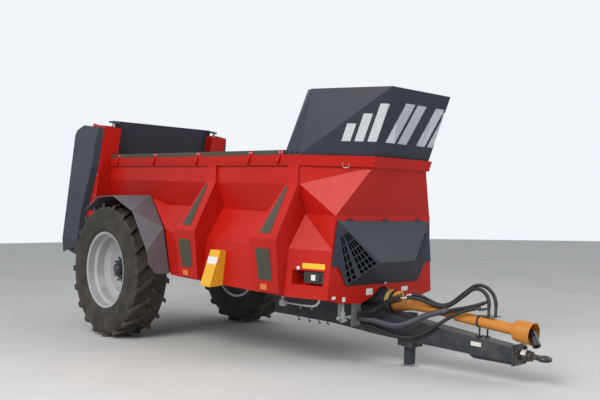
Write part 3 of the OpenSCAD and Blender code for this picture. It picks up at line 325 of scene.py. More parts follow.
def add_world():
    """A soft even sky, brighter where the camera, a mirror or glass sees it, so that it looks near white."""
    world = bpy.data.worlds.new("soft_sky")
    world.use_nodes = True
    tree = world.node_tree
    back = tree.nodes["Background"]
    path = tree.nodes.new("ShaderNodeLightPath")
    seen = path.outputs["Is Camera Ray"]
    for kind in ("Is Transmission Ray", "Is Glossy Ray"):
        either = tree.nodes.new("ShaderNodeMath")
        either.operation = "MAXIMUM"
        tree.links.new(seen, either.inputs[0])
        tree.links.new(path.outputs[kind], either.inputs[1])
        seen = either.outputs["Value"]
    mix = tree.nodes.new("ShaderNodeMix")
    mix.inputs["A"].default_value = SKY_ON_OBJECT
    mix.inputs["B"].default_value = SKY_SEEN
    back.inputs["Color"].default_value = (0.93, 0.96, 1.0, 1)
    tree.links.new(seen, mix.inputs["Factor"])
    tree.links.new(mix.outputs["Result"], back.inputs["Strength"])
    bpy.context.scene.world = world


def add_floor(material):
    """A pale floor under the wheels."""
    corners = [(x * FLOOR_HALF, y * FLOOR_HALF, 0) for x, y in ((-1, -1), (1, -1), (1, 1), (-1, 1))]
    mesh = bpy.data.meshes.new("ground")
    mesh.from_pydata(corners, [], [(0, 1, 2, 3)])
    floor = bpy.data.objects.new("ground", mesh)
    mesh.materials.append(material)
    bpy.context.collection.objects.link(floor)


# Shader node groups


class Nodes:
    """A node tree under construction."""

    def __init__(self, tree):
        self.tree = tree

    def feed(self, socket, value):
        """Links a socket to another or gives it a plain value. A colour may come without its alpha."""
        if isinstance(value, bpy.types.NodeSocket):
            self.tree.links.new(value, socket)
        else:
            socket.default_value = (*value, 1) if isinstance(value, tuple) else value

    def mix(self, factor, a, b):
        """The colour that is a at factor 0 and b at factor 1."""
        node = self.tree.nodes.new("ShaderNodeMix")
        node.data_type = "RGBA"
        for socket, value in ((node.inputs[0], factor), (node.inputs[6], a), (node.inputs[7], b)):
            self.feed(socket, value)
        return node.outputs[2]


class Group(Nodes):
    """A shader node group, with short calls for the nodes it needs."""

    def __init__(self, name, inputs, outputs):
        super().__init__(bpy.data.node_groups.new(name, "ShaderNodeTree"))
        for label, kind, value in inputs:
            socket = self.tree.interface.new_socket(label, in_out="INPUT", socket_type="NodeSocket" + kind)
            socket.default_value = value
        for label, kind in outputs:
            self.tree.interface.new_socket(label, in_out="OUTPUT", socket_type="NodeSocket" + kind)
        self.given = self.tree.nodes.new("NodeGroupInput").outputs
        self.result = self.tree.nodes.new("NodeGroupOutput").inputs

    def math(self, operation, *values, clamp=False):
        node = self.tree.nodes.new("ShaderNodeMath")
        node.operation, node.use_clamp = operation, clamp
        for socket, value in zip(node.inputs, values):
            self.feed(socket, value)
        return node.outputs["Value"]

    def ramp(self, value, low, high):
        """A smooth step from 0 at low to 1 at high."""
        node = self.tree.nodes.new("ShaderNodeMapRange")
        node.interpolation_type = "SMOOTHSTEP"
        for label, given in (("Value", value), ("From Min", low), ("From Max", high)):
            self.feed(node.inputs[label], given)
        return node.outputs["Result"]

    def place(self, centre=(0, 0, 0), scale=(1, 1, 1)):
        """Object coordinates moved so that centre is 0, then scaled along each axis."""
        source = self.tree.nodes.new("ShaderNodeTexCoord")
        node = self.tree.nodes.new("ShaderNodeMapping")
        node.inputs["Location"].default_value = [-c * s for c, s in zip(centre, scale)]
        node.inputs["Scale"].default_value = scale
        self.tree.links.new(source.outputs["Object"], node.inputs["Vector"])
        return node.outputs["Vector"]

    def noise(self, vector, scale, detail=3.0, roughness=0.5):
        node = self.tree.nodes.new("ShaderNodeTexNoise")
        for label, value in (("Vector", vector), ("Scale", scale), ("Detail", detail),
                             ("Roughness", roughness)):
            self.feed(node.inputs[label], value)
        return node.outputs["Fac"]

    def split(self, vector):
        node = self.tree.nodes.new("ShaderNodeSeparateXYZ")
        self.tree.links.new(vector, node.inputs["Vector"])
        return node.outputs


def skin_group():
    """Uneven colour and gloss: a base colour drifts to a shade, 65 parts by wide soft patches and 35 by
    fine specks, the roughness follows them, and the height is a fine grain."""
    g = Group("skin", [("Base", "Color", (0.5, 0.5, 0.5, 1)), ("Shade", "Color", (0.4, 0.4, 0.4, 1)),
                       ("Patches", "Float", 1.5), ("Specks", "Float", 60.0), ("Gloss", "Float", 0.4),
                       ("Spread", "Float", 0.1), ("Grain", "Float", 300.0)],
              [("Color", "Color"), ("Roughness", "Float"), ("Height", "Float")])
    v = g.place()
    wide = g.ramp(g.noise(v, g.given["Patches"], 3.0), 0.35, 0.70)
    fine = g.noise(v, g.given["Specks"], 4.0, 0.6)
    share = g.math("ADD", g.math("MULTIPLY", wide, 0.65), g.math("MULTIPLY", g.ramp(fine, 0.45, 0.75), 0.35))
    gloss = g.math("ADD", g.given["Gloss"], g.math("MULTIPLY", share, g.given["Spread"]))
    g.feed(g.result["Color"], g.mix(share, g.given["Base"], g.given["Shade"]))
    g.feed(g.result["Roughness"], gloss)
    g.feed(g.result["Height"], g.noise(v, g.given["Grain"], 2.0))
    return g.tree


def dust_group():
    """Road dust: a mask that is full at the ground and fades out at a height, broken by noise, with a
    thin film above it. It turns a colour to dust and makes it rough."""
    g = Group("road_dust", [("Color", "Color", (0.5, 0.5, 0.5, 1)), ("Roughness", "Float", 0.5),
                            ("Dust", "Color", (0.23, 0.19, 0.15, 1)), ("Reach", "Float", 0.9),
                            ("Amount", "Float", 0.5), ("Film", "Float", 0.05)],
              [("Color", "Color"), ("Roughness", "Float")])
    v = g.place()
    low = g.math("SUBTRACT", 1.0, g.math("DIVIDE", g.split(v)["Z"], g.given["Reach"]), clamp=True)
    broken = g.ramp(g.noise(v, 5.0, 6.0, 0.65), 0.35, 0.75)
    mask = g.math("ADD", g.math("MULTIPLY", g.math("MULTIPLY", low, broken), g.given["Amount"]),
                  g.math("MULTIPLY", broken, g.given["Film"]), clamp=True)
    rough = g.math("ADD", g.given["Roughness"], g.math("MULTIPLY", mask, 0.35), clamp=True)
    g.feed(g.result["Color"], g.mix(mask, g.given["Color"], g.given["Dust"]))
    g.feed(g.result["Roughness"], rough)
    return g.tree


def rings_group():
    """Rings about the wheels' axle: the distance from the axle, and a height made of raised lines at a
    spacing, which fades in and out over 20 mm at the ends of a band of radii."""
    fade = 0.02
    g = Group("wheel_rings", [("Inner", "Float", 0.53), ("Outer", "Float", 0.80),
                              ("Spacing", "Float", 0.045)], [("Radius", "Float"), ("Height", "Float")])
    out = g.split(g.place((AXLE_X, 0, AXLE_Z)))
    radius = g.math("SQRT", g.math("ADD", g.math("MULTIPLY", out["X"], out["X"]),
                                   g.math("MULTIPLY", out["Z"], out["Z"])))
    wave = g.math("SINE", g.math("MULTIPLY", g.math("DIVIDE", radius, g.given["Spacing"]), 2 * math.pi))
    begun = g.ramp(radius, g.given["Inner"], g.math("ADD", g.given["Inner"], fade))
    ended = g.ramp(radius, g.math("SUBTRACT", g.given["Outer"], fade), g.given["Outer"])
    band = g.math("MULTIPLY", begun, g.math("SUBTRACT", 1.0, ended))
    g.feed(g.result["Radius"], radius)
    g.feed(g.result["Height"], g.math("MULTIPLY", band, g.ramp(wave, 0.55, 0.95)))
    return g.tree


def streaks_group():
    """Long scratches along x: noise stretched along the load's way, as a mask and a height."""
    g = Group("load_streaks", [("Low", "Float", 0.45), ("High", "Float", 0.70)],
              [("Mask", "Float"), ("Height", "Float")])
    worn = g.noise(g.place(scale=(2.0, 60.0, 60.0)), 1.0, 5.0, 0.65)
    g.feed(g.result["Mask"], g.ramp(worn, g.given["Low"], g.given["High"]))
    g.feed(g.result["Height"], worn)
    return g.tree


def weave_group():
    """A mesh of level and upright wires, along the lines at every pitch of z and of x + y: 1 where a
    line is nearer than the wire's share of half a pitch."""
    g = Group("wire_mesh", [("Pitch", "Float", 0.02), ("Wire", "Float", 0.5)], [("Wires", "Float")])
    out = g.split(g.place())
    span = g.math("ADD", out["X"], out["Y"])

    def line(value):
        share = g.math("FRACT", g.math("DIVIDE", value, g.given["Pitch"]))
        return g.math("MULTIPLY", g.math("ABSOLUTE", g.math("SUBTRACT", share, 0.5)), 2.0)

    nearest = g.math("MAXIMUM", line(span), line(out["Z"]))
    g.feed(g.result["Wires"], g.math("GREATER_THAN", nearest, g.math("SUBTRACT", 1.0, g.given["Wire"])))
    return g.tree


def band_group():
    """A band across the tractor shaft: 1 between two distances along its axis from the gearbox's face.
    The distance is x cos b - z sin b, where b is the shaft's lean to the ground."""
    g = Group("shaft_band", [("First", "Float", 0.07), ("Last", "Float", 0.15)], [("Mask", "Float")])
    out = g.split(g.place(machine([PTO_X, 0, PTO_Z])))
    lean = NOSE_DOWN + PTO_DROOP
    way = g.math("SUBTRACT", g.math("MULTIPLY", out["X"], math.cos(lean)),
                 g.math("MULTIPLY", out["Z"], math.sin(lean)))
    g.feed(g.result["Mask"], g.math("MULTIPLY", g.math("GREATER_THAN", way, g.given["First"]),
                                    g.math("LESS_THAN", way, g.given["Last"])))
    return g.tree


def below_group():
    """A mask that is 1 under a level above the ground."""
    g = Group("below_level", [("Level", "Float", 0.014)], [("Mask", "Float")])
    g.feed(g.result["Mask"], g.math("LESS_THAN", g.split(g.place())["Z"], g.given["Level"]))
    return g.tree


def hood_shade_group():
    """Painted shade on the front wall's part behind the hood: a mask between two heights, where the distance from
    the middle is less than a half width that grows with the height, as the hood's edges do."""
    low, high = machine([[FRONT_X, 0, HOOD_FOOT_Z], [FRONT_X, 0, HOOD_TOP_Z]])[:, 2].tolist()
    g = Group("wall_recess", [("Foot", "Float", 0.575), ("Growth", "Float", 0.228)], [("Mask", "Float")])
    out = g.split(g.place())
    rise = g.math("SUBTRACT", out["Z"], low)
    half = g.math("ADD", g.given["Foot"], g.math("MULTIPLY", g.given["Growth"], rise))
    inside = g.math("LESS_THAN", g.math("ABSOLUTE", out["Y"]), half)
    level = g.math("MULTIPLY", g.math("GREATER_THAN", out["Z"], low), g.math("LESS_THAN", out["Z"], high))
    g.feed(g.result["Mask"], g.math("MULTIPLY", inside, level))
    return g.tree


def wrap_group():
    """Fine rings along a hose: a wave of the attribute along, which is the way from the hose's start."""
    g = Group("hose_wrap", [("Pitch", "Float", 0.004)], [("Height", "Float")])
    way = g.tree.nodes.new("ShaderNodeAttribute")
    way.attribute_name = "along"
    turns = g.math("DIVIDE", way.outputs["Fac"], g.given["Pitch"])
    g.feed(g.result["Height"], g.math("SINE", g.math("MULTIPLY", turns, 2 * math.pi)))
    return g.tree


SKIN = skin_group()
DUST = dust_group()
RINGS = rings_group()
STREAKS = streaks_group()
WEAVE = weave_group()
WRAP = wrap_group()
BAND = band_group()
BELOW = below_group()
# Mask of the painted shade on the front wall behind the hood
PAINTED_HOOD_SHADE = hood_shade_group()


# Materials


class Finish(Nodes):
    """A material with a Principled shader, fed by node groups."""

    def __init__(self, name, metallic=0.0, coat=0.0, specular=0.5):
        self.material = bpy.data.materials.new(name)
        self.material.use_nodes = True
        super().__init__(self.material.node_tree)
        self.shader = self.tree.nodes["Principled BSDF"]
        self.shader.inputs["Metallic"].default_value = metallic
        self.shader.inputs["Specular IOR Level"].default_value = specular
        self.shader.inputs["Coat Weight"].default_value = coat
        self.shader.inputs["Coat Roughness"].default_value = 0.08

    def group(self, tree, **values):
        """A group node with given values or links on its inputs, whose names are written in lower case."""
        node = self.tree.nodes.new("ShaderNodeGroup")
        node.node_tree = tree
        for label, value in values.items():
            self.feed(node.inputs[label.capitalize()], value)
        return node.outputs

    def link(self, **sockets):
        """Links sockets to the shader's inputs, whose names are written with underscores."""
        for label, socket in sockets.items():
            self.tree.links.new(socket, self.shader.inputs[label.replace("_", " ")])

    def bump(self, height, depth, under=None):
        """A Bump node of a depth in metres over an earlier one."""
        node = self.tree.nodes.new("ShaderNodeBump")
        node.inputs["Distance"].default_value = depth
        node.inputs["Strength"].default_value = 1.0
        self.tree.links.new(height, node.inputs["Height"])
        if under:
            self.tree.links.new(under, node.inputs["Normal"])
        return node.outputs["Normal"]


RED, RED_SHADE = (0.47, 0.010, 0.005), (0.40, 0.008, 0.004)
DARK, DARK_SHADE = (0.030, 0.035, 0.048), (0.024, 0.028, 0.040)


def coated(name, base, shade, gloss, spread=0.10, coat=0.0, metallic=0.0, specks=45.0, grain=260.0,
           depth=0.00008, reach=1.0, amount=0.35, film=0.04, specular=0.5):
    """Paint, lacquer or plastic with a soft drift of colour, a fine grain and road dust near the ground."""
    f = Finish(name, metallic, coat, specular)
    skin = f.group(SKIN, base=base, shade=shade, gloss=gloss, spread=spread, patches=1.2, specks=specks,
                   grain=grain)
    dust = f.group(DUST, color=skin["Color"], roughness=skin["Roughness"], reach=reach, amount=amount,
                   film=film)
    f.link(Base_Color=dust["Color"], Roughness=dust["Roughness"], Normal=f.bump(skin["Height"], depth))
    return f.material


def worn_steel(name, base, shade, rust, low, high):
    """Bare steel with thin rust and scratches in long streaks along the load's way."""
    f = Finish(name, metallic=0.75)
    skin = f.group(SKIN, base=base, shade=shade, gloss=0.42, spread=0.25, patches=3.0, specks=90.0)
    worn = f.group(STREAKS, low=low, high=high)
    f.link(Base_Color=f.mix(worn["Mask"], skin["Color"], rust), Roughness=skin["Roughness"],
           Normal=f.bump(worn["Height"], 0.0006, f.bump(skin["Height"], 0.0002)))
    return f.material


def rubber():
    """Brown-black tyre rubber: lugs that are dustier the further they stand out, raised rings on the
    sidewall and a fine grain."""
    f = Finish("tyre_rubber", specular=0.35)
    skin = f.group(SKIN, base=(0.018, 0.0165, 0.015), shade=(0.034, 0.030, 0.026), gloss=0.62, spread=0.25,
                   patches=6.0, specks=120.0, grain=420.0)
    rings = f.group(RINGS, inner=0.545, outer=0.775, spacing=0.058)
    far = f.tree.nodes.new("ShaderNodeMapRange")
    for label, value in (("Value", rings["Radius"]), ("From Min", SHOULDER_R), ("From Max", TYRE_R),
                         ("To Max", 0.55)):
        f.feed(far.inputs[label], value)
    tread = f.mix(far.outputs["Result"], skin["Color"], (0.070, 0.058, 0.046))
    dust = f.group(DUST, color=tread, roughness=skin["Roughness"], dust=(0.16, 0.135, 0.105), reach=1.9,
                   amount=0.40, film=0.10)
    f.link(Base_Color=dust["Color"], Roughness=dust["Roughness"],
           Normal=f.bump(rings["Height"], 0.004, f.bump(skin["Height"], 0.0004)))
    return f.material


def hose(name, base, shade, gloss, pitch, depth):
    """Hose or sleeve with a fine wrapped surface that follows it."""
    f = Finish(name)
    skin = f.group(SKIN, base=base, shade=shade, gloss=gloss, spread=0.15, patches=8.0, specks=80.0)
    wrap = f.group(WRAP, pitch=pitch)
    f.link(Base_Color=skin["Color"], Roughness=skin["Roughness"],
           Normal=f.bump(wrap["Height"], depth, f.bump(skin["Height"], 0.0001)))
    return f.material


def window_mesh():
    """A pale wire mesh that one sees through."""
    f = Finish("window_mesh", metallic=0.3)
    skin = f.group(SKIN, base=(0.62, 0.64, 0.67), shade=(0.50, 0.52, 0.55), gloss=0.45, spread=0.1)
    wires = f.group(WEAVE, pitch=0.016, wire=0.60)
    f.link(Base_Color=skin["Color"], Roughness=skin["Roughness"], Alpha=wires["Wires"],
           Normal=f.bump(skin["Height"], 0.0002))
    return f.material


def shaft_guard():
    """Orange plastic of the shaft's guard, with a tan collar and a black seal at its rear end."""
    f = Finish("guard_orange", specular=0.4)
    skin = f.group(SKIN, base=(0.62, 0.235, 0.026), shade=(0.52, 0.18, 0.018), gloss=0.38, spread=0.14,
                   patches=4.0, specks=70.0, grain=180.0)
    collar = f.group(BAND, first=0.0, last=0.145)
    seal = f.group(BAND, first=0.145, last=0.190)
    tan = f.mix(collar["Mask"], skin["Color"], (0.36, 0.27, 0.10))
    dust = f.group(DUST, color=f.mix(seal["Mask"], tan, (0.012, 0.012, 0.012)), roughness=skin["Roughness"],
                   amount=0.35, film=0.05)
    f.link(Base_Color=dust["Color"], Roughness=dust["Roughness"], Normal=f.bump(skin["Height"], 0.0003))
    return f.material


def wall_with_painted_shade():
    """The front wall's red paint, with painted shade, near black, on its part behind the hood's grilles."""
    f = Finish("front_wall_red", specular=0.22)
    skin = f.group(SKIN, base=RED, shade=RED_SHADE, gloss=0.40, spread=0.08, patches=1.2, specks=45.0,
                   grain=260.0)
    painted_shade = f.group(PAINTED_HOOD_SHADE)
    # Painted shade: near black where the hood shades the wall behind its grilles
    f.link(Base_Color=f.mix(painted_shade["Mask"], skin["Color"], (0.008, 0.008, 0.009)),
           Roughness=skin["Roughness"], Normal=f.bump(skin["Height"], 0.00008))
    return f.material


def jack_steel():
    """The jack's leg: dark paint, with a zinc foot plate on the ground."""
    f = Finish("jack_steel", specular=0.35)
    skin = f.group(SKIN, base=DARK, shade=DARK_SHADE, gloss=0.42, spread=0.12)
    foot = f.group(BELOW, level=JACK_FOOT_TOP)
    f.link(Base_Color=f.mix(foot["Mask"], skin["Color"], (0.50, 0.50, 0.49)), Roughness=skin["Roughness"],
           Metallic=foot["Mask"], Normal=f.bump(skin["Height"], 0.0001))
    return f.material


def lens(name, base, shade):
    """A lamp lens with a fine grid of ribs."""
    f = Finish(name, coat=0.6)
    skin = f.group(SKIN, base=base, shade=shade, gloss=0.15, spread=0.08, patches=20.0, specks=200.0)
    ribs = f.group(WEAVE, pitch=0.008, wire=0.35)
    f.link(Base_Color=skin["Color"], Roughness=skin["Roughness"], Normal=f.bump(ribs["Wires"], 0.0004))
    return f.material


def paving():
    """A pale floor with a faint unevenness."""
    f = Finish("paving", specular=0.2)
    skin = f.group(SKIN, base=(0.60, 0.60, 0.59), shade=(0.54, 0.54, 0.53), gloss=0.80, spread=0.1,
                   patches=0.5, specks=6.0)
    f.link(Base_Color=skin["Color"], Roughness=skin["Roughness"])
    return f.material


MATERIALS = {
    "body_red": coated("body_red", RED, RED_SHADE, 0.40, 0.08, film=0.012, amount=0.10, specular=0.22),
    "anthracite": coated("anthracite", DARK, DARK_SHADE, 0.44, 0.10, film=0.02, specular=0.28),
    "dark_grey": coated("dark_grey", (0.115, 0.118, 0.135), (0.095, 0.098, 0.112), 0.55, 0.12, grain=420.0,
                        depth=0.0002, film=0.08, reach=1.8),
    "panel_olive": coated("panel_olive", (0.052, 0.049, 0.033), (0.040, 0.038, 0.027), 0.62, 0.12,
                          grain=520.0, depth=0.0003),
    "window_mesh": window_mesh(),
    "rim_silver": coated("rim_silver", (0.45, 0.455, 0.47), (0.36, 0.365, 0.38), 0.34, 0.12, metallic=0.35,
                         reach=1.4, amount=0.45),
    "tyre_rubber": rubber(),
    "bare_steel": worn_steel("bare_steel", (0.20, 0.195, 0.19), (0.13, 0.125, 0.12), (0.12, 0.075, 0.045),
                             0.52, 0.72),
    "rod_chrome": coated("rod_chrome", (0.72, 0.72, 0.74), (0.68, 0.68, 0.70), 0.08, 0.05, metallic=1.0,
                         amount=0.0, film=0.0),
    "black_steel": coated("black_steel", (0.014, 0.014, 0.016), (0.022, 0.022, 0.023), 0.34, 0.18, coat=0.2),
    "guard_orange": shaft_guard(),
    "chock_yellow": coated("chock_yellow", (0.80, 0.43, 0.018), (0.70, 0.36, 0.016), 0.40, 0.12),
    "hose_black": hose("hose_black", (0.012, 0.012, 0.013), (0.020, 0.020, 0.021), 0.34, 0.005, 0.0004),
    "grey_plastic": coated("grey_plastic", (0.30, 0.31, 0.32), (0.25, 0.26, 0.27), 0.45, 0.12),
    "lamp_red": lens("lamp_red", (0.42, 0.008, 0.008), (0.30, 0.006, 0.006)),
    "lamp_amber": lens("lamp_amber", (0.72, 0.17, 0.008), (0.60, 0.13, 0.006)),
}
AIR_HOSE = hose("air_hose", (0.011, 0.011, 0.012), (0.018, 0.018, 0.019), 0.28, 0.02, 0.0001)
HOSE_SLEEVE = hose("hose_sleeve", (0.060, 0.066, 0.085), (0.045, 0.050, 0.066), 0.32, 0.009, 0.0008)
ZINC = coated("zinc", (0.46, 0.46, 0.45), (0.36, 0.36, 0.35), 0.35, 0.2, metallic=0.8, specks=120.0)
BRASS = coated("brass", (0.50, 0.33, 0.10), (0.40, 0.27, 0.09), 0.30, 0.15, metallic=0.9)
BLANK_WHITE = coated("blank_white", (0.74, 0.74, 0.72), (0.68, 0.68, 0.66), 0.32, 0.06, film=0.02)
BLANK_YELLOW = coated("blank_yellow", (0.82, 0.50, 0.03), (0.76, 0.44, 0.03), 0.32, 0.06, film=0.02)
VALVE_GREEN = coated("valve_green", (0.24, 0.33, 0.24), (0.18, 0.26, 0.18), 0.45, 0.1)


def dress_nodes():
    """Gives every CAD node the material of its slot in the record, and two nodes one of their own."""
    for part in frame["record"]["subparts"]:
        node = frame["nodes"][part["node"]]
        node.data.materials.clear()
        node.data.materials.append(MATERIALS[part["material_slot"]])
    frame["nodes"]["jack_leg"].data.materials[0] = jack_steel()
    # The front wall's red paint carries painted shade behind the hood
    frame["nodes"]["front_wall"].data.materials[0] = wall_with_painted_shade()


# Hoses


def add_hose(node, path, diameter, material, slot, sides, **facts):
    """A free hose along a path, with the way from its start kept on its points, in place of its node."""
    name = node + ("_tube" if node.endswith("hose") else "_hose")
    piece = add_piece(name, [tube(path, diameter / 2, sides)], material, smooth=60)
    layer = piece.data.attributes.new("along", "FLOAT", "POINT")
    layer.data.foreach_set("value", np.repeat(way_along(path), sides).astype(np.float32))
    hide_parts(node)


def curl(route):
    """A helix about a smooth route, in even points. At each end its radius grows from 0 as a smooth step
    of the way, and its turning sets in as one after a straight piece, up to one turn a pitch."""
    axis = smooth_path(route, 4000)
    way = way_along(axis)
    ahead = unit(np.gradient(axis, axis=0))
    first = unit(np.cross((0, 1, 0), ahead))
    second = np.cross(ahead, first)
    inward = np.minimum(way, way[-1] - way)

    def step(value):
        t = np.clip(value, 0, 1)
        return t * t * (3 - 2 * t)

    turning = 2 * np.pi / COIL_PITCH * step((inward[1:] - COIL_STRAIGHT) / COIL_TURN_IN)
    angle = np.concatenate([[0], np.cumsum(np.diff(way) * turning)])[:, None]
    radius = (COIL_D - AIR_TUBE_D) / 2 * step(inward / COIL_OPENING)[:, None]
    helix = axis + radius * (np.cos(angle) * first + np.sin(angle) * second)
    return evenly(helix, int(way_along(helix)[-1] / AIR_TUBE_STEP))


def add_hoses():
    """The air hoses' coils and loops, the sleeved bundle and the two hydraulic hoses."""
    coupling = np.array([[0.006, -0.03], [0.019, -0.026], [0.019, -0.004], [0.015, 0.0], [0.019, 0.004],
                         [0.019, 0.026], [0.006, 0.03]])
    couplings = []
    for route, name in ((COIL_1, "air_coupling_1"), (COIL_2, "air_coupling_2")):
        rows = put(turned(coupling, 16), route[-1], route[-1] - route[-2])
        couplings.append(add_piece(name, [rows], ZINC))
    collar = put(turned([[0.016, -0.035], [0.033, -0.03], [0.033, 0.005], [0.018, 0.03]], 20), SLEEVE[-1],
                 SLEEVE[-1] - SLEEVE[-2])
    cuff = add_piece("sleeve_cuff", [collar], MATERIALS["black_steel"])
    for name, route, end in (("coil_hose_1", COIL_1, couplings[0]), ("coil_hose_2", COIL_2, couplings[1])):
        add_hose(name, curl(route), AIR_TUBE_D, AIR_HOSE, "hose_black", 8, far_end="connector",
                 stiffness="medium", lay="coiled", with_pieces=[end])
    for name, route in (("loop_hose_1", LOOP_1), ("loop_hose_2", LOOP_2), ("low_hose", LOW)):
        add_hose(name, smooth_path(route, 60), HOSE_D, MATERIALS["hose_black"], "hose_black", 16,
                 far_end="object", stiffness="stiff", lay="loose")
    add_hose("sleeve_hose", smooth_path(SLEEVE, 40), SLEEVE_D, HOSE_SLEEVE, "grey_plastic", 20,
             far_end="connector", stiffness="stiff", lay="loose", with_pieces=[cuff])
    add_hose("middle_hose", smooth_path(MIDDLE, 24), HOSE_D, MATERIALS["hose_black"], "hose_black", 16,
             far_end="object", stiffness="stiff", lay="loose")


# Fasteners and blank plates


def add_bolts():
    """Bolt heads in a piece for each place: the drawbar's sides, its head plates, the screen's foot, and
    the rear frame's posts with the rotors' beams."""
    head = hex_head(0.013, 0.010)
    ahead, back, right = (1, 0, 0), (-1, 0, 0), (0, -1, 0)
    side = [put(head, (x, -drawbar_side(x), z), right) for x in (2.834, 2.988) for z in (0.70, 0.86)]
    plates = [put(hex_head(0.019, 0.018), (HEAD_FACE_X, y, z), ahead) for y in (-0.062, 0.062)
              for z in (0.530, 0.594, 0.658)]
    add_piece("drawbar_bolts", side + [mirrored(r) for r in side], ZINC, smooth=30)
    add_piece("head_bolts", plates, ZINC, smooth=30)

    foot_z, foot_y, foot_x = RAIL_TOP + 0.030, RAIL_Y - 0.010, 3.951
    side = [put(head, (x, -foot_y, foot_z), right) for x in (3.10, 3.18, 3.26)]
    front = [put(head, (foot_x, y, foot_z), ahead) for y in np.linspace(-0.40, 0.40, 5)]
    add_piece("screen_bolts", side + [mirrored(r) for r in side] + front, MATERIALS["black_steel"],
              smooth=30)

    post = [put(head, (x, -FRAME_Y, z), right) for x in (-0.150, 0.110) for z in np.linspace(-0.20, 1.60, 7)]
    beam = [put(hex_head(0.018, 0.014), (ROTOR_X - 0.06, y, z), back, (0, 1, 0))
            for y in (-0.95, -0.70, -0.25, 0.25, 0.70, 0.95) for z in (-0.22, 1.475)]
    add_piece("rear_frame_bolts", post + [mirrored(r) for r in post] + beam, ZINC,
              smooth=30, where=lambda p: machine(rear(p)))


def add_plates():
    """Blank plates and labels, at the places where such a machine carries them."""
    ahead, across = (1, 0, 0), (0, 1, 0)
    front_places = ((-0.215, 0.985, 0.105, 0.070), (-0.755, 0.950, 0.052, 0.032),
                    (-0.605, 0.925, 0.045, 0.050), (0.370, 0.985, 0.110, 0.050))
    front = [put(plate(width, height, LABEL_T), (FRONT_X + HAIR, y, z), ahead, across)
             for y, z, width, height in front_places]
    add_piece("front_labels", front, BLANK_WHITE)

    out, way = np.array([SKIRT_TAPER, -1, SKIRT_LEAN]), np.array([1, SKIRT_TAPER, 0])
    strip = plate(0.250, 0.056, 0.004)
    dot = turned([[0.017, 0], [0.019, 0.003], [0.014, 0.007], [0.004, 0.008]], 20)
    for name, rows, x, z, material, slot in (
            ("pocket_strip", strip, 3.578, 1.264, BLANK_YELLOW, "chock_yellow"),
            ("pocket_reflector", dot, 3.425, 1.238, BLANK_WHITE, "rim_silver")):
        add_piece(name, [put(rows, (x, -skirt_face(x, z) - 4 * HAIR, z), out, way)], material)

    box_out, box_way = (0.319, -0.948, 0), (0.948, 0.319, 0)
    box = put(plate(0.050, 0.058, 0.002), (3.580, -0.8953, 1.148), box_out, box_way)
    drawbar = put(plate(0.115, 0.040, LABEL_T), (5.015, -0.0890, 0.630), (0.018, -1, 0))
    for name, rows in (("side_box_label", box), ("drawbar_label", drawbar),
                       ("chock_label", chock_band(1.165, 1.245)), ("shank_label", boss_band(5.464, 5.512))):
        add_piece(name, [rows], BLANK_WHITE)


def chock_band(z0, z1):
    """A thin blank band on the chock's outer face between two heights. The face's half width runs
    straight from the chock's foot to its top."""
    z = np.array([z0, z1])
    (foot_y, foot_z), (top_y, top_z) = CHOCK_FOOT, CHOCK_TOP
    y = -(foot_y - (foot_y - top_y) / (top_z - foot_z) * (z - foot_z))
    rear_x, front_x = CHOCK_X
    corners = [(rear_x, 0), (front_x, 0), (front_x, 1), (rear_x, 1)]
    return np.array([[(x, y[k] - out, z[k]) for x, k in corners] for out in (0.0, 0.0015)])


def boss_band(x0, x1):
    """A blank label bent about the drawbar head's boss: an arc of 60 degrees between two radii."""
    a = np.radians(np.linspace(10, 70, 14))
    arcs = [r * np.stack([-np.cos(t), np.sin(t)], -1) for r, t in ((0.0535, a), (0.0521, a[::-1]))]
    loop = np.concatenate(arcs) + (0, BOSS_Z)
    return np.stack([np.concatenate([np.full((len(loop), 1), x), loop], 1) for x in (x1, x0)])


def add_fittings():
    """A knob, caps, nuts and a latch: profiles turned about their own axes."""
    ahead, left, right = (1, 0, 0), (0, 1, 0), (0, -1, 0)
    knob = [[0.008, 0], [0.008, 0.040], [0.020, 0.044], [0.024, 0.052], [0.024, 0.062], [0.018, 0.070],
            [0.004, 0.072]]
    add_piece("wall_knob", [put(turned(knob, 24), (FRONT_X + 2 * HAIR, -0.585, 0.938), ahead)],
              MATERIALS["dark_grey"])
    cap = turned([[0.016, 0], [0.019, 0.003], [0.019, 0.020], [0.015, 0.026], [0.004, 0.027]], 20)
    caps = [put(cap, (3.7605, y, 0.740), out) for y, out in ((-0.6803, right), (-0.5397, left))]
    add_piece("valve_caps", caps, VALVE_GREEN)
    nut = [[0.010, -0.018], [0.0215, -0.016], [0.0215, 0.0], [0.0165, 0.002], [0.0165, 0.012], [0.012, 0.014]]
    nuts = [put(collar_of(nut), route[0] + (0.012, 0, 0), ahead) for route in (COIL_1, COIL_2, LOW)]
    add_piece("port_nuts", nuts, BRASS, closed=True)
    clip = [[0.014, 0], [0.016, 0.002], [0.016, 0.016], [0.011, 0.022], [0.003, 0.023]]
    add_piece("hood_latch", [put(turned(clip, 20), (3.772, 0.0, 1.0795), (0.2, 0, -1))], ZINC,
              "hood_body")


def collar_of(profile):
    """A ring: the profile's outer side, then a bore 1.5 mm inside a hydraulic hose."""
    return np.concatenate([turned(profile, 20)[::-1], turned([[0.0165, -0.018], [0.0165, 0.014]], 20)])


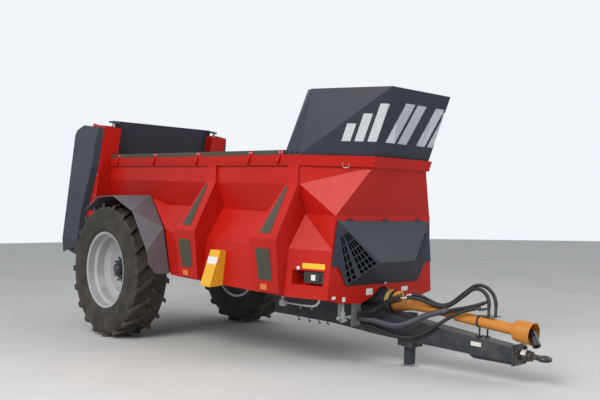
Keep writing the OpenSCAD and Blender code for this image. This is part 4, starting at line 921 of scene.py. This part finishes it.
def add_rail_hooks():
    """Hooks over the top rail's strips: a leaning brace on the rail's outer face, a plate on the strip
    above it and two bolts. One more hook, a bent wire, hangs on the rail's slanted front part."""
    braces, bolts, low, high = [], [], RAIL_TOP - RAIL_H + 0.004, RAIL_TOP - 0.001
    brace = ((low, -0.022, 0.004), (low + 0.03, -0.014, 0.026), (high, 0.022, 0.010))
    plate_t, plate_z = 0.007, (RAIL_TOP + 0.0005, RAIL_TOP + 0.052)

    def outline(x, y, z, half, depth):
        """A level rectangle that reaches half a width to both sides of x and a depth out from y."""
        return [(x + u, y - out, z) for u, out in ((-half, 0), (-half, depth), (half, depth), (half, 0))]

    for x in (-0.477, 0.480, 1.468, 2.486, 3.001):
        plate_x = x + 0.022
        braces.append(np.array([outline(x + lean, -rail_face(z) - 4 * HAIR, z, 0.024, depth)
                                for z, lean, depth in brace]))
        braces.append(np.array([outline(plate_x, -STRIP_Y, z, 0.040, plate_t) for z in plate_z]))
        bolts += [put(hex_head(0.012, 0.009), (plate_x + u, -STRIP_Y - plate_t - HAIR, RAIL_TOP + 0.030),
                      (0, -1, 0)) for u in (-0.022, 0.022)]
    braces += [mirrored(rows) for rows in braces]
    bolts += [mirrored(rows) for rows in bolts]
    add_piece("rail_hooks", braces, MATERIALS["body_red"])
    add_piece("rail_hook_bolts", bolts, ZINC, smooth=30)

    ahead, out = np.array([0.8247, 0.5656, 0]), np.array([0.5656, -0.8247, 0])
    start, start_z, wire_r = np.array([3.700, -0.650, 0]), 2.36, 0.004
    shape = [(0, 2.340), (0, 2.318), (0.002, 2.298), (0.012, 2.289), (0.033, 2.287), (0.054, 2.289),
             (0.064, 2.298), (0.066, 2.318), (0.066, 2.340)]
    wire = np.array([start + along * ahead + (RAIL_LEAN * (z - start_z) + wire_r + 3 * HAIR) * out + (0, 0, z)
                     for along, z in shape])
    add_piece("rope_hook", [tube(smooth_path(wire, 40), wire_r, 10, out)], ZINC, smooth=60)


def add_cable_hooks():
    """Small J hooks below the drawbar's right edge, for the cables: straight down 24 mm, then curled."""
    shape = np.array([(0, 0, 0), (0, 0, -0.012), (0, 0, -0.024), (0.004, 0, -0.034), (0.014, 0, -0.040),
                      (0.024, 0, -0.036), (0.028, 0, -0.026)])
    tops = ((2.7915, -0.345, 0.5945), (2.927, -0.310, 0.5925), (3.057, -0.280, 0.5905),
            (3.167, -0.250, 0.5870))
    lofts = [tube(smooth_path(shape + top, 24), 0.0065, 10) for top in tops]
    add_piece("cable_hooks", lofts, MATERIALS["black_steel"], smooth=60)


def add_knives():
    """Blades on the rotors' flights: plates that stand out from the helix at even steps, one row a flight.
    A knife's angle and height grow with its share of the flight."""
    knife, up = plate(0.085, 0.070, 0.008, 0.010), (0, 0, 1)
    for side, name in ((-1, "right"), (1, "left")):
        lofts = []
        for start in (0, math.pi):
            for share in (np.arange(KNIVES) + 0.6) / (KNIVES + 0.4):
                a = -side * (start + 2 * math.pi * FLIGHT_TURNS * share)
                out = np.array([math.cos(a), math.sin(a), 0])
                z = FLIGHT_Z[0] + share * (FLIGHT_Z[1] - FLIGHT_Z[0]) + 0.012
                lofts.append(put(knife, np.array([ROTOR_X, side * ROTOR_Y, z]) + KNIFE_R * out, up, out))
        add_piece("rotor_knives_" + name, lofts, ZINC, "rotor_" + name + "_body",
                  where=lambda p: machine(rear(p)))


def add_wheel_fittings():
    """A cap on each wheel's hub and a valve stem in its rim: profiles turned about lines along the axle."""
    cap = turned([[0.060, 0.036], [0.060, 0.046], [0.052, 0.056], [0.030, 0.062], [0.006, 0.063]], 40)
    stem = turned([[0.009, 0], [0.009, 0.02], [0.005, 0.022], [0.005, 0.05], [0.007, 0.052],
                   [0.007, 0.064], [0.004, 0.067]], 12)
    for side, name in ((-1, "right"), (1, "left")):
        out = (0, side, 0)
        add_piece("hub_cap_" + name, [put(cap, (0, side * WHEEL_Y, AXLE_Z), out)],
                  MATERIALS["black_steel"], "wheel_" + name)
        add_piece("valve_stem_" + name, [put(stem, (0.30, side * (WHEEL_Y + 0.02), AXLE_Z + 0.27), out)],
                  BRASS, "wheel_" + name)


add_camera()
dress_nodes()
add_hoses()
add_bolts()
add_plates()
add_fittings()
add_rail_hooks()
add_cable_hooks()
add_knives()
add_wheel_fittings()
add_world()
add_light("key", place=(4, -10, 9), target=(0, 0, 1.2), size=7, power=1250, colour=(1.0, 0.97, 0.93))
add_light("fill", place=(10, 4, 6), target=(1, 0, 1.2), size=7, power=320, colour=(0.92, 0.96, 1.0))
add_floor(paving())

bpy.context.scene.view_settings.view_transform = "Standard"
